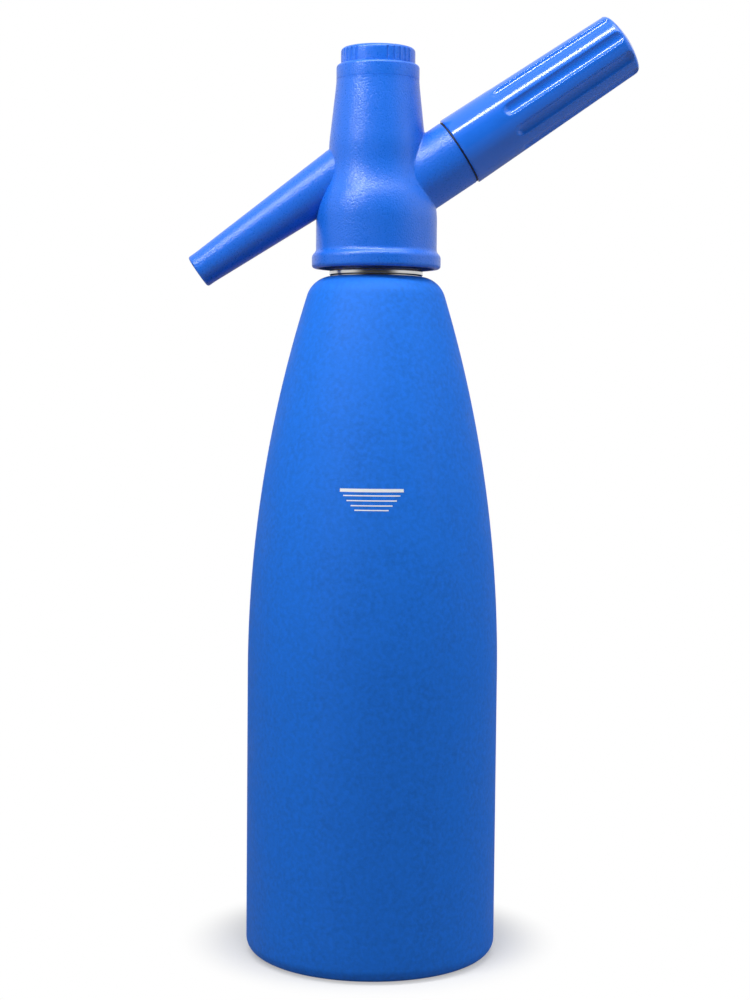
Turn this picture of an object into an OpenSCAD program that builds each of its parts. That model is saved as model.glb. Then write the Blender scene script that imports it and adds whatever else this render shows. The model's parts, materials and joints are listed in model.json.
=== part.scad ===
// Soda siphon: a rubber-coated one-litre bottle with a screw-on dispensing head,
// a push button on top, a slanted spout and a screwed holder for a gas charger.
// Millimetres, +Z up, origin at the centre of the foot ring, holder towards +X, spout towards -X.

/* [Bottle] */
// Outer radius of the coated bottle
body_r = 46.4; // [42:0.1:52]
// Height at which the straight wall starts to curve in
straight_z = 105; // [80:1:130]
// Height of the shoulder, where the coat meets the neck
shoulder_z = 251.1; // [235:0.1:270]
// Radius of the rounded shoulder under the neck
shoulder_round_r = 10; // [7:0.5:13]
// Radius of the rounded corner at the base
base_round_r = 5; // [3:0.5:8]
// Thickness of the rubber coat
coat_t = 0.8; // [0.5:0.1:1.5]
// Gap between the coat's edges and the bare metal beside them
coat_gap = 0.25; // [0.1:0.05:0.5]
// Wall of the metal bottle
bottle_wall = 1.1; // [0.8:0.1:2]
// Height by which the foot ring stands below the coat
foot_h = 0.3; // [0.2:0.1:1]
// Inner radius of the foot ring
foot_in_r = 35; // [28:0.5:37]
// Width of the foot ring
foot_w = 4; // [2:0.5:5]
// Rise of the domed base inside the foot ring
dome_h = 6; // [3:0.5:12]

/* [Neck] */
// Radius of the plain bead at the root of the neck
neck_bead_r = 17.2; // [16.9:0.1:18]
// Visible height of that bead
neck_bead_h = 2; // [1:0.1:3]
// Outer radius of the neck's thread
neck_r = 16.8; // [15.5:0.1:16.8]
// Radius of the mouth through the neck
mouth_r = 13.2; // [13.2:0.1:14]
// Length of thread that the head covers
neck_thread_len = 9; // [8:0.5:11]
// Chamfer on the neck's rim
rim_chamfer = 0.5; // [0.2:0.1:0.8]

/* [Measuring tube and gasket] */
// Height of the fill mark, where the tube ends
fill_z = 174.6; // [150:0.1:200]
// Outer radius of the measuring tube
tube_r = 12.7; // [12.2:0.1:12.8]
// Wall of the measuring tube
tube_wall = 1.2; // [0.8:0.1:1.5]
// Radius of the tube's flange, which lies on the neck's rim
tube_flange_r = 15.9; // [15:0.1:16.2]
// Thickness of that flange
tube_flange_t = 1.6; // [1.2:0.1:2.2]
// Thickness of the neck gasket
gasket_t = 2.4; // [1.6:0.1:3]
// Width of the neck gasket
gasket_w = 3.4; // [2.5:0.1:3.4]

/* [Head casing] */
// Gap between the shoulder and the skirt
skirt_gap = 2.8; // [2.5:0.1:5]
// Outer radius of the skirt ring
skirt_r = 23.7; // [23.2:0.1:26]
// Height of the skirt ring up to where it starts to round in
skirt_ring_h = 3.7; // [3:0.1:6]
// Height of the rounding above the skirt ring
skirt_blend_h = 3.4; // [2.5:0.1:5]
// Round on the skirt's lower edge
skirt_round = 1.2; // [0.6:0.1:1.3]
// Inner radius of the skirt's mouth
skirt_mouth_r = 21.2; // [20.8:0.1:21.8]
// Radius of the belly above the ring
belly_r = 22.2; // [21.9:0.1:23.5]
// Height of the belly's straight part above the ring's rounding
belly_h = 10.5; // [8:0.5:13]
// Height of the flare from belly to waist
flare_h = 22; // [18:0.5:26]
// Radius of the waist
waist_r = 17.7; // [17.2:0.1:19]
// Height of the straight waist
waist_h = 5.5; // [3:0.5:8]
// Height of the cone above the waist
cone_h = 22.2; // [20:0.1:26]
// Radius at the cone's top and of the collar
collar_r = 15.2; // [15.1:0.05:16.5]
// Height of the straight lip under the collar
lip_h = 1.3; // [1:0.1:2.5]
// Wall of the casing
casing_wall = 2; // [1.6:0.1:2.2]

/* [Collar and button] */
// Height of the collar
collar_h = 5.4; // [4.5:0.1:7]
// Round on the collar's upper edge
collar_round = 1.2; // [0.6:0.1:1.3]
// Radius of the push button
button_r = 13.6; // [13:0.1:13.7]
// Height of the button above the collar at rest
button_show = 6; // [5.5:0.1:8]
// Round on the button's upper edge
button_round = 1.4; // [0.8:0.1:2]
// Thickness of the button's top
button_top_t = 2.4; // [1.8:0.1:3]
// Wall of the button's skirt
button_wall = 1.4; // [1.2:0.1:2]
// Travel of the button when pressed
button_travel = 4; // [3:0.1:4.5]
// Radius of the grip grooves in the button's side
groove_r = 0.5; // [0.3:0.05:0.7]
// Number of grooves in each of the four grip zones
groove_count = 5; // [3:1:5]
// Angle between neighbouring grooves
groove_pitch = 10; // [8:0.5:10]
// Turn of the smooth panel's middle from +X
panel_turn = 260; // [0:1:359]

/* [Spout] */
// Slope of the spout below horizontal
spout_angle = 34.9; // [30:0.1:38]
// Length from the head's axis to the spout's tip
spout_len = 80; // [70:0.5:95]
// Radius of the spout's tip
spout_tip_r = 6.4; // [5.4:0.1:6.5]
// Length of the straight tip
spout_tip_len = 3.5; // [2:0.5:6]
// Round on the tip's edge
spout_tip_round = 0.8; // [0.3:0.1:1.2]
// Radius of the spout where it leaves the head
spout_root_r = 9.2; // [8.6:0.1:9.4]
// Distance from the head's axis at which that radius is measured
spout_root_at = 24; // [20:0.5:28]
// Wall of the spout's shell
spout_wall = 1.8; // [1.2:0.1:1.9]
// Outer radius of the pouring tube inside the spout
pour_tube_r = 3.9; // [3.4:0.1:4]
// Bore radius of the pouring tube
pour_bore_r = 2.75; // [2:0.05:3]

/* [Charger boss and holder] */
// Slope of the boss and the holder above horizontal
holder_angle = 34; // [30:0.5:38]
// Height of the boss's axis above the neck gasket, on the head's axis
boss_rise = 6.6; // [6.6:0.1:8]
// Distance along that axis from the head's axis to the boss's end
boss_len = 35.8; // [33:0.1:40]
// Radius of the boss
boss_r = 12.6; // [12:0.1:13]
// Thickness of the washer in the seam
washer_t = 0.5; // [0.4:0.1:1]
// Radius of the charger holder at the seam
holder_r = 13.2; // [13:0.1:14]
// Radius of the charger holder at its far end
holder_end_r = 12; // [11.9:0.1:13]
// Length of the holder from the seam to the top of its dome
holder_len = 73.2; // [72.5:0.1:80]
// Radius of the holder's domed end
holder_dome_r = 30.4; // [25:0.5:60]
// Round between the holder's side and its dome
holder_round = 2; // [1:0.1:2.5]
// Number of grip flutes
flute_count = 9; // [6:1:10]
// Depth of a flute
flute_depth = 1.1; // [0.5:0.1:1.2]
// Radius of a flute's hollow
flute_r = 3.5; // [3:0.1:4]
// Distance from the seam to a flute's start
flute_start = 19.2; // [15:0.1:30]
// Distance from a flute's end to the top of the dome
flute_stop = 5; // [4:0.5:15]
// Turn of the first flute
flute_turn = 22; // [0:1:35]

/* [Gas charger] */
// Radius of the charger's body
charger_r = 9.1; // [8.8:0.05:9.2]
// Length of the charger
charger_len = 65.5; // [64:0.1:67]
// Radius of the charger's neck
charger_neck_r = 4.3; // [4:0.1:4.4]
// Length of the charger's neck
charger_neck_len = 8.3; // [7.5:0.1:9]
// Length of the shoulder between neck and body
charger_shoulder_len = 10; // [8:0.5:12]
// Wall of the charger
charger_wall = 1.2; // [0.8:0.1:1.6]
// Radius of the hole pierced in the charger's cap
pierced_r = 1.3; // [1.3:0.05:1.6]

/* [Piercing nipple] */
// Outer radius of the nipple's thread
nipple_r = 9.8; // [9.2:0.1:9.8]
// Length of thread on the nipple
nipple_thread_len = 11.2; // [10.5:0.1:12]
// Radius of the nipple's shank inside the boss
shank_r = 7.5; // [6.5:0.1:7.5]
// Radius of the tail that screws into the valve core
tail_r = 4.1; // [3.6:0.1:4.2]
// Length of that tail
tail_len = 5; // [4:0.1:5]
// Depth of the bore that takes the charger's neck
nose_bore_len = 8.7; // [8:0.1:9]
// Radius of the piercing needle
needle_r = 0.95; // [0.8:0.05:0.95]
// Reach of the needle past the charger's cap
needle_reach = 1.3; // [0.8:0.1:1.8]
// Thickness of the rubber seal round the needle
pin_seal_t = 2.9; // [2:0.1:3.5]

/* [Valve] */
// Radius of the stem
stem_r = 1.5; // [1.2:0.05:1.8]
// Radius of the valve disc
disc_r = 3.9; // [3.4:0.05:4]
// Radius of the hole through the valve seat
seat_r = 2.6; // [2.2:0.05:2.8]
// Radius of the chambers above and below the seat
chamber_r = 4.6; // [4.4:0.1:4.8]
// Height of the seat above the neck gasket
seat_rise = 19; // [18:0.1:20]
// Height of the spout's axis above the seat
spout_rise = 8.9; // [8.5:0.1:10]
// Outer radius of the valve core's body
core_r = 6.6; // [6.4:0.1:7]
// Radius of the core's flange
core_flange_r = 17.2; // [16.8:0.1:17.4]
// Thickness of the core's flange
core_flange_t = 2; // [1.5:0.1:2]
// Outer radius of the riser tube
riser_r = 3.2; // [2.8:0.1:3.3]
// Bore radius of the riser tube
riser_bore_r = 2.3; // [1.8:0.1:2.4]
// Height of the riser tube's open end above the domed base
riser_gap = 5; // [3:0.5:10]
// Wire radius of the button spring
button_wire_r = 0.45; // [0.3:0.05:0.5]
// Number of curls in the button spring
button_curls = 7; // [5:1:8]
// Wire radius of the valve spring
valve_wire_r = 0.3; // [0.25:0.05:0.35]
// Number of curls in the valve spring
valve_curls = 5; // [4:1:6]

/* [Clearances] */
// Radial clearance between a shaft and its bore
run_gap = 0.05; // [0.02:0.01:0.08]
// Gap between pieces that pass each other freely
free_gap = 0.35; // [0.3:0.05:0.5]
// Gap between a pressed or screwed piece and its seat
seat_gap = 0.05; // [0.02:0.01:0.1]

/* [Hidden] */
$fn = 64;

coat_blue = "#2b6fdc";
casing_blue = "#2a6ee0";
holder_blue = "#1f63e6";
steel_grey = "#c9ccd0";
brass_tone = "#c8b878";
rubber_black = "#202124";
clear_grey = "#dfe6ea";

// Heights up the bottle and the neck
base_z = foot_h;
foot_out_r = foot_in_r + foot_w;
coat_in_r = foot_out_r + coat_gap;
base_round = min(base_round_r, body_r - coat_in_r - coat_t / 2);
corner_c = [body_r - base_round, base_z + base_round];
shoulder_lip = 1.4;
round_c = [neck_bead_r - shoulder_lip, shoulder_z - shoulder_round_r];
curve_in = body_r - round_c[0];
curve_up = round_c[1] - straight_z;
curve_r = (curve_in * curve_in + curve_up * curve_up - shoulder_round_r * shoulder_round_r)
    / (2 * (curve_in - shoulder_round_r));
curve_end = asin(curve_up / (curve_r - shoulder_round_r));
dome_r = (foot_in_r * foot_in_r + dome_h * dome_h) / (2 * dome_h);
skirt_z = shoulder_z + skirt_gap;
socket_inset = 3.1;
socket_z = skirt_z + socket_inset;
rim_z = socket_z + neck_thread_len;
tube_top_z = rim_z + tube_flange_t;

// Heights inside the head, from the gasket up
plate_z = tube_top_z + gasket_t;
plate_t = 3;
flange_z = plate_z + plate_t;
deck_z = flange_z + core_flange_t;
boss_z = plate_z + boss_rise;
seat_z = plate_z + seat_rise;
seat_t = 2;
spout_z = seat_z + spout_rise;
pour_roof_t = 2.15;
guide_z = spout_z + pour_bore_r + pour_roof_t;
guide_len = 6;
guide_head_t = 2;
spring_z = guide_z + guide_len + guide_head_t;

// Heights up the casing
ring_z = skirt_z + skirt_ring_h;
belly_z = ring_z + skirt_blend_h;
flare_z = belly_z + belly_h;
waist_z = flare_z + flare_h;
cone_z = waist_z + waist_h;
lip_z = cone_z + cone_h;
collar_z = lip_z + lip_h;
collar_top_z = collar_z + collar_h;
button_z = collar_top_z + button_show;
ceiling_z = button_z - button_top_t;

// Radii that fit one another
socket_r = belly_r - casing_wall;
socket_bore_r = max(neck_r, tube_flange_r) + free_gap;
spigot_r = 12;
collar_bore_r = button_r + free_gap;
guide_r = core_r;
guide_wall = 1.6;
core_top_r = guide_r + guide_wall;
core_top_z = spout_z - 2;
spout_boss_r = 5.2;
spout_boss_len = 13;
spout_start = 6;
pour_start = 8;
boss_start = 8;
edge_r = 0.5;
riser_plug_len = 7;
riser_depth = 4;
riser_hex_r = 6.5;
riser_hex_h = 5.5;
riser_seal_r = 0.55;
disc_t = 1.7;
carrier_t = 1.6;
disc_z = seat_z - disc_t;
carrier_z = disc_z - carrier_t;
boss_socket_len = 16;
button_boss_r = 2 * stem_r + 0.2;
stem_top_z = ceiling_z - 1;
nipple_end_s = boss_len + nipple_thread_len;
pin_seal_s = nipple_end_s - nose_bore_len;
pin_flange_r = 3;
pin_flange_t = 3.3;
pin_s = pin_seal_s - pin_flange_t;
nose_s = pin_seal_s + pin_seal_t;
holder_s = boss_len + washer_t;
holder_end_s = holder_s + holder_len;
holder_dome_a = asin((holder_end_r - holder_round) / (holder_dome_r - holder_round));
holder_side_s = holder_end_s - holder_dome_r + (holder_dome_r - holder_round) * cos(holder_dome_a);
holder_slope = (holder_r - holder_end_r) / (holder_side_s - holder_s);
bush_inset = 0.5;
bush_len = 10.5;
bush_shell = 2;
bush_r = holder_r - bush_shell;
bush_bore_r = nipple_r + free_gap;
charger_bore_r = charger_r + free_gap;
charger_ball_s = nose_s + charger_len - charger_r;
screw_r = 1.25;
screw_head_r = 2.1;
screw_head_h = 2.2;
screw_key_r = 1.2;
screw_key_h = 1.2;
screw_tip_z = plate_z + 0.5;
screw_circle_r = 14.3;
seal_r = 0.75;
seal_groove_r = spigot_r - 2 * seal_r + seat_gap;

// The gas way beside the valve chamber, with its check valve
gas_x = 7.4;
gas_r = 0.8;
check_bore_r = 1.8;
check_ball_r = 1.5;
check_seat_z = plate_z + 9;
check_stop_z = plate_z + 2.6;
check_ball_gap = 0.13;
check_ball_z = check_seat_z - sqrt(check_ball_r * check_ball_r - gas_r * gas_r) - check_ball_gap;
check_wire_r = 0.22;
check_coil_r = 1;
check_stop_t = 2;
check_stop_bore_r = 0.7;

// The relief valve on the core's flange
relief_turn = 110;
relief_r = 2.8;
relief_bore_r = 2;
relief_gap = 1.2;
relief_at = core_r + relief_r + relief_gap;
relief_hole_at = relief_at - relief_gap;
relief_h = 10.5;
relief_vent_r = 0.6;
relief_seat_z = deck_z + 3;
relief_cap_t = 1.5;
relief_wire_r = 0.25;
relief_disc_t = 1.5;
relief_pin_r = 0.7;
relief_pin_len = 2.5;
relief_top_z = deck_z + relief_h - relief_cap_t;

function arc(c, r, a0, a1, n) = [for (i = [0:n]) let (a = a0 + (a1 - a0) * i / n) c + r * [cos(a), sin(a)]];
function backwards(p) = [for (i = [len(p) - 1:-1:0]) p[i]];

// Two equal arcs that lead from a vertical at p to a vertical at q, further up
function s_curve(p, q, n) =
    let (
        dr = p[0] - q[0],
        dz = q[1] - p[1],
        r = (dz * dz + dr * dr) / (4 * dr),
        a = 2 * atan(dr / dz)
    )
    concat(arc([p[0] - r, p[1]], r, 0, a, n), arc([q[0] + r, q[1]], r, 180 + a, 180, n));

// The bottle's outline from base to shoulder, moved inwards by d and ended at radius end_r
function bottle_outline(d, end_r) =
    concat(
        arc(corner_c, base_round - d, -90, 0, 6),
        arc([body_r - curve_r, straight_z], curve_r - d, 0, curve_end, 24),
        arc(round_c, shoulder_round_r - d, curve_end, acos((end_r - round_c[0]) / (shoulder_round_r - d)), 8)
    );

// Rings along a tube that winds up a coil, six sides round the wire and eight rings a curl
function coil_points(r, wire_r, z0, z1, curls) =
    [for (i = [0:8 * curls])
        for (j = [0:5])
            let (
                turn = 45 * i,
                side = 60 * j,
                z = z0 + wire_r + (z1 - z0 - 2 * wire_r) * i / (8 * curls),
                out = r + wire_r * cos(side)
            )
            [out * cos(turn), out * sin(turn), z + wire_r * sin(side)]];
function coil_faces(rings) =
    concat(
        [[for (j = [0:5]) j]],
        [for (i = [0:rings - 2])
            for (j = [0:5])
                let (a = 6 * i + j, b = 6 * i + (j + 1) % 6)
                each [[a, a + 6, b + 6], [a, b + 6, b]]],
        [[for (j = [5:-1:0]) 6 * (rings - 1) + j]]
    );

module coil(r, wire_r, z0, z1, curls) {
    polyhedron(coil_points(r, wire_r, z0, z1, curls), coil_faces(8 * curls + 1), convexity = 10);
}

module ring(outer_r, inner_r, z, h) {
    translate([0, 0, z])
        difference() {
            cylinder(r = outer_r, h = h);
            translate([0, 0, -1])
                cylinder(r = inner_r, h = h + 2);
        }
}

module o_ring(middle_r, wire_r, z) {
    translate([0, 0, z])
        rotate_extrude()
            translate([middle_r, 0])
                circle(r = wire_r);
}

// Local +Z runs outwards along the charger's axis
module on_boss_axis() {
    translate([0, 0, boss_z])
        rotate([0, 90 - holder_angle, 0])
            children();
}

// Local +Z runs outwards along the spout's axis
module on_spout_axis() {
    translate([0, 0, spout_z])
        rotate([0, -90 - spout_angle, 0])
            children();
}

module bottle() {
    outer = bottle_outline(coat_t, neck_bead_r + coat_gap);
    inner_d = coat_t + bottle_wall;
    floor_z = base_z + inner_d;
    dome_c = [0, dome_h - dome_r];
    dome_edge = 1;
    dome_a = asin((foot_in_r - dome_edge) / (dome_r + bottle_wall));
    inner = concat(
        arc(dome_c, dome_r + bottle_wall, 90, 90 - dome_a, 8),
        arc(corner_c, base_round - inner_d, -90, 0, 6),
        arc([body_r - curve_r, straight_z], curve_r - inner_d, 0, curve_end, 24),
        arc(round_c, shoulder_round_r - inner_d, curve_end, 90, 8)
    );
    bead_z = shoulder_z + neck_bead_h;
    color(steel_grey)
        rotate_extrude()
            polygon(concat(
                arc(dome_c, dome_r, 90, 90 - asin(foot_in_r / dome_r), 8),
                [[foot_out_r, 0], [foot_out_r, base_z + coat_t]],
                outer,
                [[neck_bead_r, outer[len(outer) - 1][1]], [neck_bead_r, bead_z], [neck_r, bead_z]],
                [[neck_r, rim_z - rim_chamfer], [neck_r - rim_chamfer, rim_z]],
                [[mouth_r + rim_chamfer, rim_z], [mouth_r, rim_z - rim_chamfer]],
                [[mouth_r, round_c[1] + shoulder_round_r - inner_d]],
                backwards(inner)
            ));
}

module rubber_coat() {
    end_r = neck_bead_r + coat_gap;
    color(coat_blue)
        rotate_extrude()
            polygon(concat(
                [[coat_in_r, base_z]],
                bottle_outline(0, end_r),
                backwards(bottle_outline(coat_t, end_r)),
                [[coat_in_r, base_z + coat_t]]
            ));
}

module measuring_tube() {
    color(clear_grey)
        difference() {
            union() {
                translate([0, 0, fill_z])
                    cylinder(r = tube_r, h = tube_top_z - fill_z);
                translate([0, 0, rim_z])
                    cylinder(r = tube_flange_r, h = tube_flange_t);
            }
            translate([0, 0, fill_z - 1])
                cylinder(r = tube_r - tube_wall, h = tube_top_z - fill_z + 2);
        }
}

module neck_gasket() {
    color(rubber_black)
        ring(tube_flange_r, tube_flange_r - gasket_w, tube_top_z, gasket_t);
}

// The tower's outline from the skirt's outer edge to the lip under the collar
function casing_outline() =
    concat(
        arc([skirt_r - skirt_round, skirt_z + skirt_round], skirt_round, -90, 0, 4),
        s_curve([skirt_r, ring_z], [belly_r, belly_z], 4),
        s_curve([belly_r, flare_z], [waist_r, waist_z], 8),
        [[waist_r, cone_z], [collar_r, lip_z], [collar_r, collar_z]]
    );

// The hollow of the casing, from the lip down to the skirt's mouth
module casing_hollow() {
    ledge_w = 0.8;
    ledge_h = 1.5;
    ledge_r = socket_r - ledge_w;
    ledge_top_z = max(flare_z, flange_z) + ledge_h;
    waist_in_r = waist_r - casing_wall;
    rotate_extrude()
        polygon(concat(
            [[0, skirt_z - 1], [skirt_mouth_r, skirt_z - 1]],
            [[skirt_mouth_r, socket_z - 1], [socket_r, socket_z]],
            [[socket_r, flange_z], [ledge_r, flange_z]],
            s_curve([ledge_r, ledge_top_z], [waist_in_r, waist_z], 8),
            [[waist_in_r, cone_z], [collar_bore_r, lip_z], [0, lip_z]]
        ));
}

module head_casing() {
    color(casing_blue)
        difference() {
            union() {
                rotate_extrude()
                    polygon(concat([[0, skirt_z]], casing_outline(), [[0, collar_z]]));
                on_boss_axis()
                    boss_body();
            }
            casing_hollow();
            translate([0, 0, lip_z - 1])
                cylinder(r = collar_bore_r, h = lip_h + 2);
            translate([0, 0, lip_z])
                cylinder(r = collar_spigot_r() + seat_gap, h = lip_h + 1);
            on_boss_axis()
                cylinder(r = shank_r + seat_gap, h = boss_len + 1);
            on_spout_axis()
                spout_cone(seat_gap);
        }
}

// The boss for the charger, with a small round at its outer edge
module boss_body() {
    rotate_extrude()
        polygon(concat(
            [[0, boss_start], [boss_r, boss_start]],
            arc([boss_r - edge_r, boss_len - edge_r], edge_r, 0, 90, 3),
            [[0, boss_len]]
        ));
}

function spout_slope() = (spout_root_r - spout_tip_r) / (spout_len - spout_tip_len - spout_root_at);
function spout_radius(t) = spout_root_r + (spout_root_at - t) * spout_slope();

// The spout's full outer form, grown by the gap g
module spout_cone(g) {
    tip_z = spout_len - spout_tip_len;
    rotate_extrude()
        polygon(concat(
            [[0, spout_start], [spout_radius(spout_start) + g, spout_start], [spout_tip_r + g, tip_z]],
            arc([spout_tip_r + g - spout_tip_round, spout_len - spout_tip_round], spout_tip_round, 0, 90, 4),
            [[0, spout_len]]
        ));
}

module spout() {
    hollow_start = 22;
    solid_tip_len = 15;
    hollow_end = spout_len - solid_tip_len;
    color(casing_blue)
        difference() {
            on_spout_axis()
                difference() {
                    spout_cone(0);
                    cylinder(r = pour_tube_r + seat_gap, h = spout_len + 1);
                    cylinder(r = spout_boss_r + seat_gap, h = spout_boss_len);
                    translate([0, 0, hollow_start])
                        cylinder(
                            r1 = spout_radius(hollow_start) - spout_wall,
                            r2 = spout_radius(hollow_end) - spout_wall,
                            h = hollow_end - hollow_start
                        );
                }
            translate([0, 0, deck_z - 1])
                cylinder(r = core_top_r + free_gap, h = collar_z - deck_z);
            translate([0, 0, flange_z])
                cylinder(r = core_flange_r + free_gap, h = core_flange_t + seat_gap);
        }
}

module pouring_tube() {
    recess = 0.8;
    color(steel_grey)
        on_spout_axis()
            ring(pour_tube_r, pour_bore_r, pour_start, spout_len - pour_start - recess);
}

// The cup with the thread for the bottle's neck, closed by a plate with a round opening
module thread_socket() {
    color(brass_tone)
        difference() {
            translate([0, 0, socket_z])
                cylinder(r = socket_r, h = flange_z - socket_z);
            translate([0, 0, socket_z - 1])
                cylinder(r = socket_bore_r, h = plate_z - socket_z + 1);
            translate([0, 0, plate_z - 1])
                cylinder(r = spigot_r + seat_gap, h = plate_t + 2);
            core_screw_places()
                translate([0, 0, screw_tip_z])
                    cylinder(r = screw_r, h = plate_t);
        }
}

module core_screw_places() {
    for (a = [50, 130, 230, 310])
        rotate([0, 0, a])
            translate([screw_circle_r, 0, 0])
                children();
}

module core_screws() {
    color(steel_grey)
        core_screw_places()
            difference() {
                union() {
                    translate([0, 0, screw_tip_z])
                        cylinder(r = screw_r, h = deck_z - screw_tip_z);
                    translate([0, 0, deck_z])
                        cylinder(r = screw_head_r, h = screw_head_h);
                }
                translate([0, 0, deck_z + screw_head_h - screw_key_h])
                    cylinder(r = screw_key_r, h = screw_key_h + 1, $fn = 6);
            }
}

module valve_core() {
    color(brass_tone)
        difference() {
            union() {
                translate([0, 0, plate_z])
                    cylinder(r = spigot_r, h = plate_t);
                translate([0, 0, flange_z])
                    cylinder(r = core_flange_r, h = core_flange_t);
                translate([0, 0, deck_z])
                    cylinder(r = core_r, h = guide_z - deck_z);
                translate([0, 0, core_top_z])
                    cylinder(r = core_top_r, h = guide_z + guide_len - core_top_z);
                on_boss_axis()
                    cylinder(r = shank_r, h = boss_socket_len);
                on_spout_axis()
                    cylinder(r = spout_boss_r, h = spout_boss_len - seat_gap);
            }
            // Spring chamber, seat and pouring chamber
            translate([0, 0, plate_z - 1])
                cylinder(r = chamber_r, h = seat_rise + 1);
            translate([0, 0, plate_z])
                cylinder(r = seat_r, h = seat_rise + seat_t + 1);
            translate([0, 0, seat_z + seat_t])
                cylinder(r = chamber_r, h = guide_z - seat_z);
            translate([0, 0, guide_z])
                cylinder(r = guide_r + seat_gap, h = guide_len + 1);
            // Way out to the spout, with the pouring tube's socket
            on_spout_axis() {
                cylinder(r = pour_bore_r, h = spout_boss_len);
                translate([0, 0, pour_start - seat_gap])
                    cylinder(r = pour_tube_r + seat_gap, h = spout_boss_len);
            }
            // Way in from the charger, down past the check valve
            on_boss_axis() {
                translate([0, 0, gas_x / cos(holder_angle) - gas_r])
                    cylinder(r = gas_r, h = boss_socket_len);
                translate([0, 0, boss_socket_len - tail_len - seat_gap])
                    cylinder(r = tail_r + seat_gap, h = tail_len + 1);
            }
            translate([gas_x, 0, plate_z - 1]) {
                cylinder(r = gas_r, h = boss_rise + gas_x * tan(holder_angle) + 1);
                cylinder(r = check_bore_r, h = check_seat_z - plate_z + 1);
            }
            // Way up to the relief valve
            rotate([0, 0, relief_turn])
                translate([relief_hole_at, 0, plate_z - 1])
                    cylinder(r = gas_r, h = plate_t + core_flange_t + 2);
            core_screw_places()
                translate([0, 0, plate_z])
                    cylinder(r = screw_r, h = plate_t + core_flange_t + 1);
            ring(spigot_r + 1, seal_groove_r, plate_z + plate_t / 2 - seal_r, 2 * seal_r);
        }
}

module core_seal() {
    color(rubber_black)
        o_ring(seal_groove_r + seal_r, seal_r, plate_z + plate_t / 2);
}

// The plug that carries the riser tube and closes the valve chamber
module riser_holder() {
    color(brass_tone)
        difference() {
            union() {
                translate([0, 0, plate_z])
                    cylinder(r = chamber_r - seat_gap, h = riser_plug_len);
                translate([0, 0, plate_z - riser_hex_h])
                    cylinder(r = riser_hex_r, h = riser_hex_h, $fn = 6);
            }
            translate([0, 0, plate_z - riser_hex_h - 1])
                cylinder(r = riser_bore_r, h = riser_hex_h + riser_plug_len + 2);
            translate([0, 0, plate_z - riser_hex_h - 1])
                cylinder(r = riser_r + seat_gap, h = riser_hex_h + riser_depth + 1);
            translate([0, 0, plate_z - riser_hex_h / 2 - riser_seal_r - seat_gap])
                cylinder(r = riser_r + 2 * seat_gap + 2 * riser_seal_r, h = 2 * riser_seal_r + 2 * seat_gap);
        }
}

module riser_seal() {
    color(rubber_black)
        o_ring(riser_r + seat_gap + riser_seal_r, riser_seal_r, plate_z - riser_hex_h / 2);
}

module riser_tube() {
    riser_z = dome_h + bottle_wall + riser_gap;
    color(steel_grey)
        ring(riser_r, riser_bore_r, riser_z, plate_z + riser_depth - riser_z);
}

// The gland that leads the stem out of the pouring chamber
module stem_guide() {
    color(brass_tone)
        difference() {
            union() {
                translate([0, 0, guide_z])
                    cylinder(r = guide_r, h = guide_len);
                translate([0, 0, guide_z + guide_len])
                    cylinder(r = core_top_r - free_gap, h = guide_head_t);
            }
            translate([0, 0, guide_z - 1])
                cylinder(r = stem_r + run_gap, h = guide_len + guide_head_t + 2);
            translate([0, 0, guide_z + guide_len / 2 - seal_r])
                cylinder(r = stem_r + run_gap + 2 * seal_r, h = 2 * seal_r);
        }
}

module stem_seal() {
    color(rubber_black)
        o_ring(stem_r + run_gap + seal_r, seal_r, guide_z + guide_len / 2);
}

function collar_spigot_r() = (collar_bore_r + collar_r) / 2;

module button_collar() {
    color(casing_blue)
        rotate_extrude()
            polygon(concat(
                [[collar_bore_r, lip_z + seat_gap], [collar_spigot_r(), lip_z + seat_gap]],
                [[collar_spigot_r(), collar_z], [collar_r, collar_z]],
                arc([collar_r - collar_round, collar_top_z - collar_round], collar_round, 0, 90, 5),
                [[collar_bore_r, collar_top_z]]
            ));
}

module push_button() {
    skirt_bottom_z = collar_z + 0.7;
    boss_bottom_z = spring_z + button_travel + 3;
    zone = 90 - groove_pitch * (groove_count - 1);
    color(casing_blue)
        difference() {
            rotate_extrude()
                polygon(concat(
                    [[0, boss_bottom_z], [button_boss_r, boss_bottom_z], [button_boss_r, ceiling_z]],
                    [[button_r - button_wall, ceiling_z], [button_r - button_wall, skirt_bottom_z]],
                    [[button_r, skirt_bottom_z]],
                    arc([button_r - button_round, button_z - button_round], button_round, 0, 90, 5),
                    [[0, button_z]]
                ));
            translate([0, 0, boss_bottom_z - 1])
                cylinder(r = stem_r + seat_gap, h = stem_top_z - boss_bottom_z + 1);
            for (quarter = [0:3])
                for (i = [0:groove_count - 1])
                    rotate([0, 0, panel_turn + 90 * quarter + zone / 2 + groove_pitch * i])
                        translate([button_r + groove_r / 3, 0, skirt_bottom_z - 1])
                            cylinder(r = groove_r, h = button_z - button_round - skirt_bottom_z + 1, $fn = 16);
        }
}

module valve_stem() {
    top_z = stem_top_z - seat_gap;
    color(steel_grey) {
        translate([0, 0, carrier_z])
            cylinder(r = stem_r, h = top_z - carrier_z);
        translate([0, 0, carrier_z])
            cylinder(r = disc_r - 0.3, h = carrier_t);
    }
}

module valve_disc() {
    color(rubber_black)
        ring(disc_r, stem_r, disc_z, disc_t);
}

module button_spring() {
    color(steel_grey)
        coil(button_boss_r + free_gap + 3 * button_wire_r, button_wire_r, spring_z, ceiling_z, button_curls);
}

module valve_spring() {
    coil_r = chamber_r - free_gap - 2.5 * valve_wire_r;
    color(steel_grey)
        coil(coil_r, valve_wire_r, plate_z + riser_plug_len, carrier_z, valve_curls);
}

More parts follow.
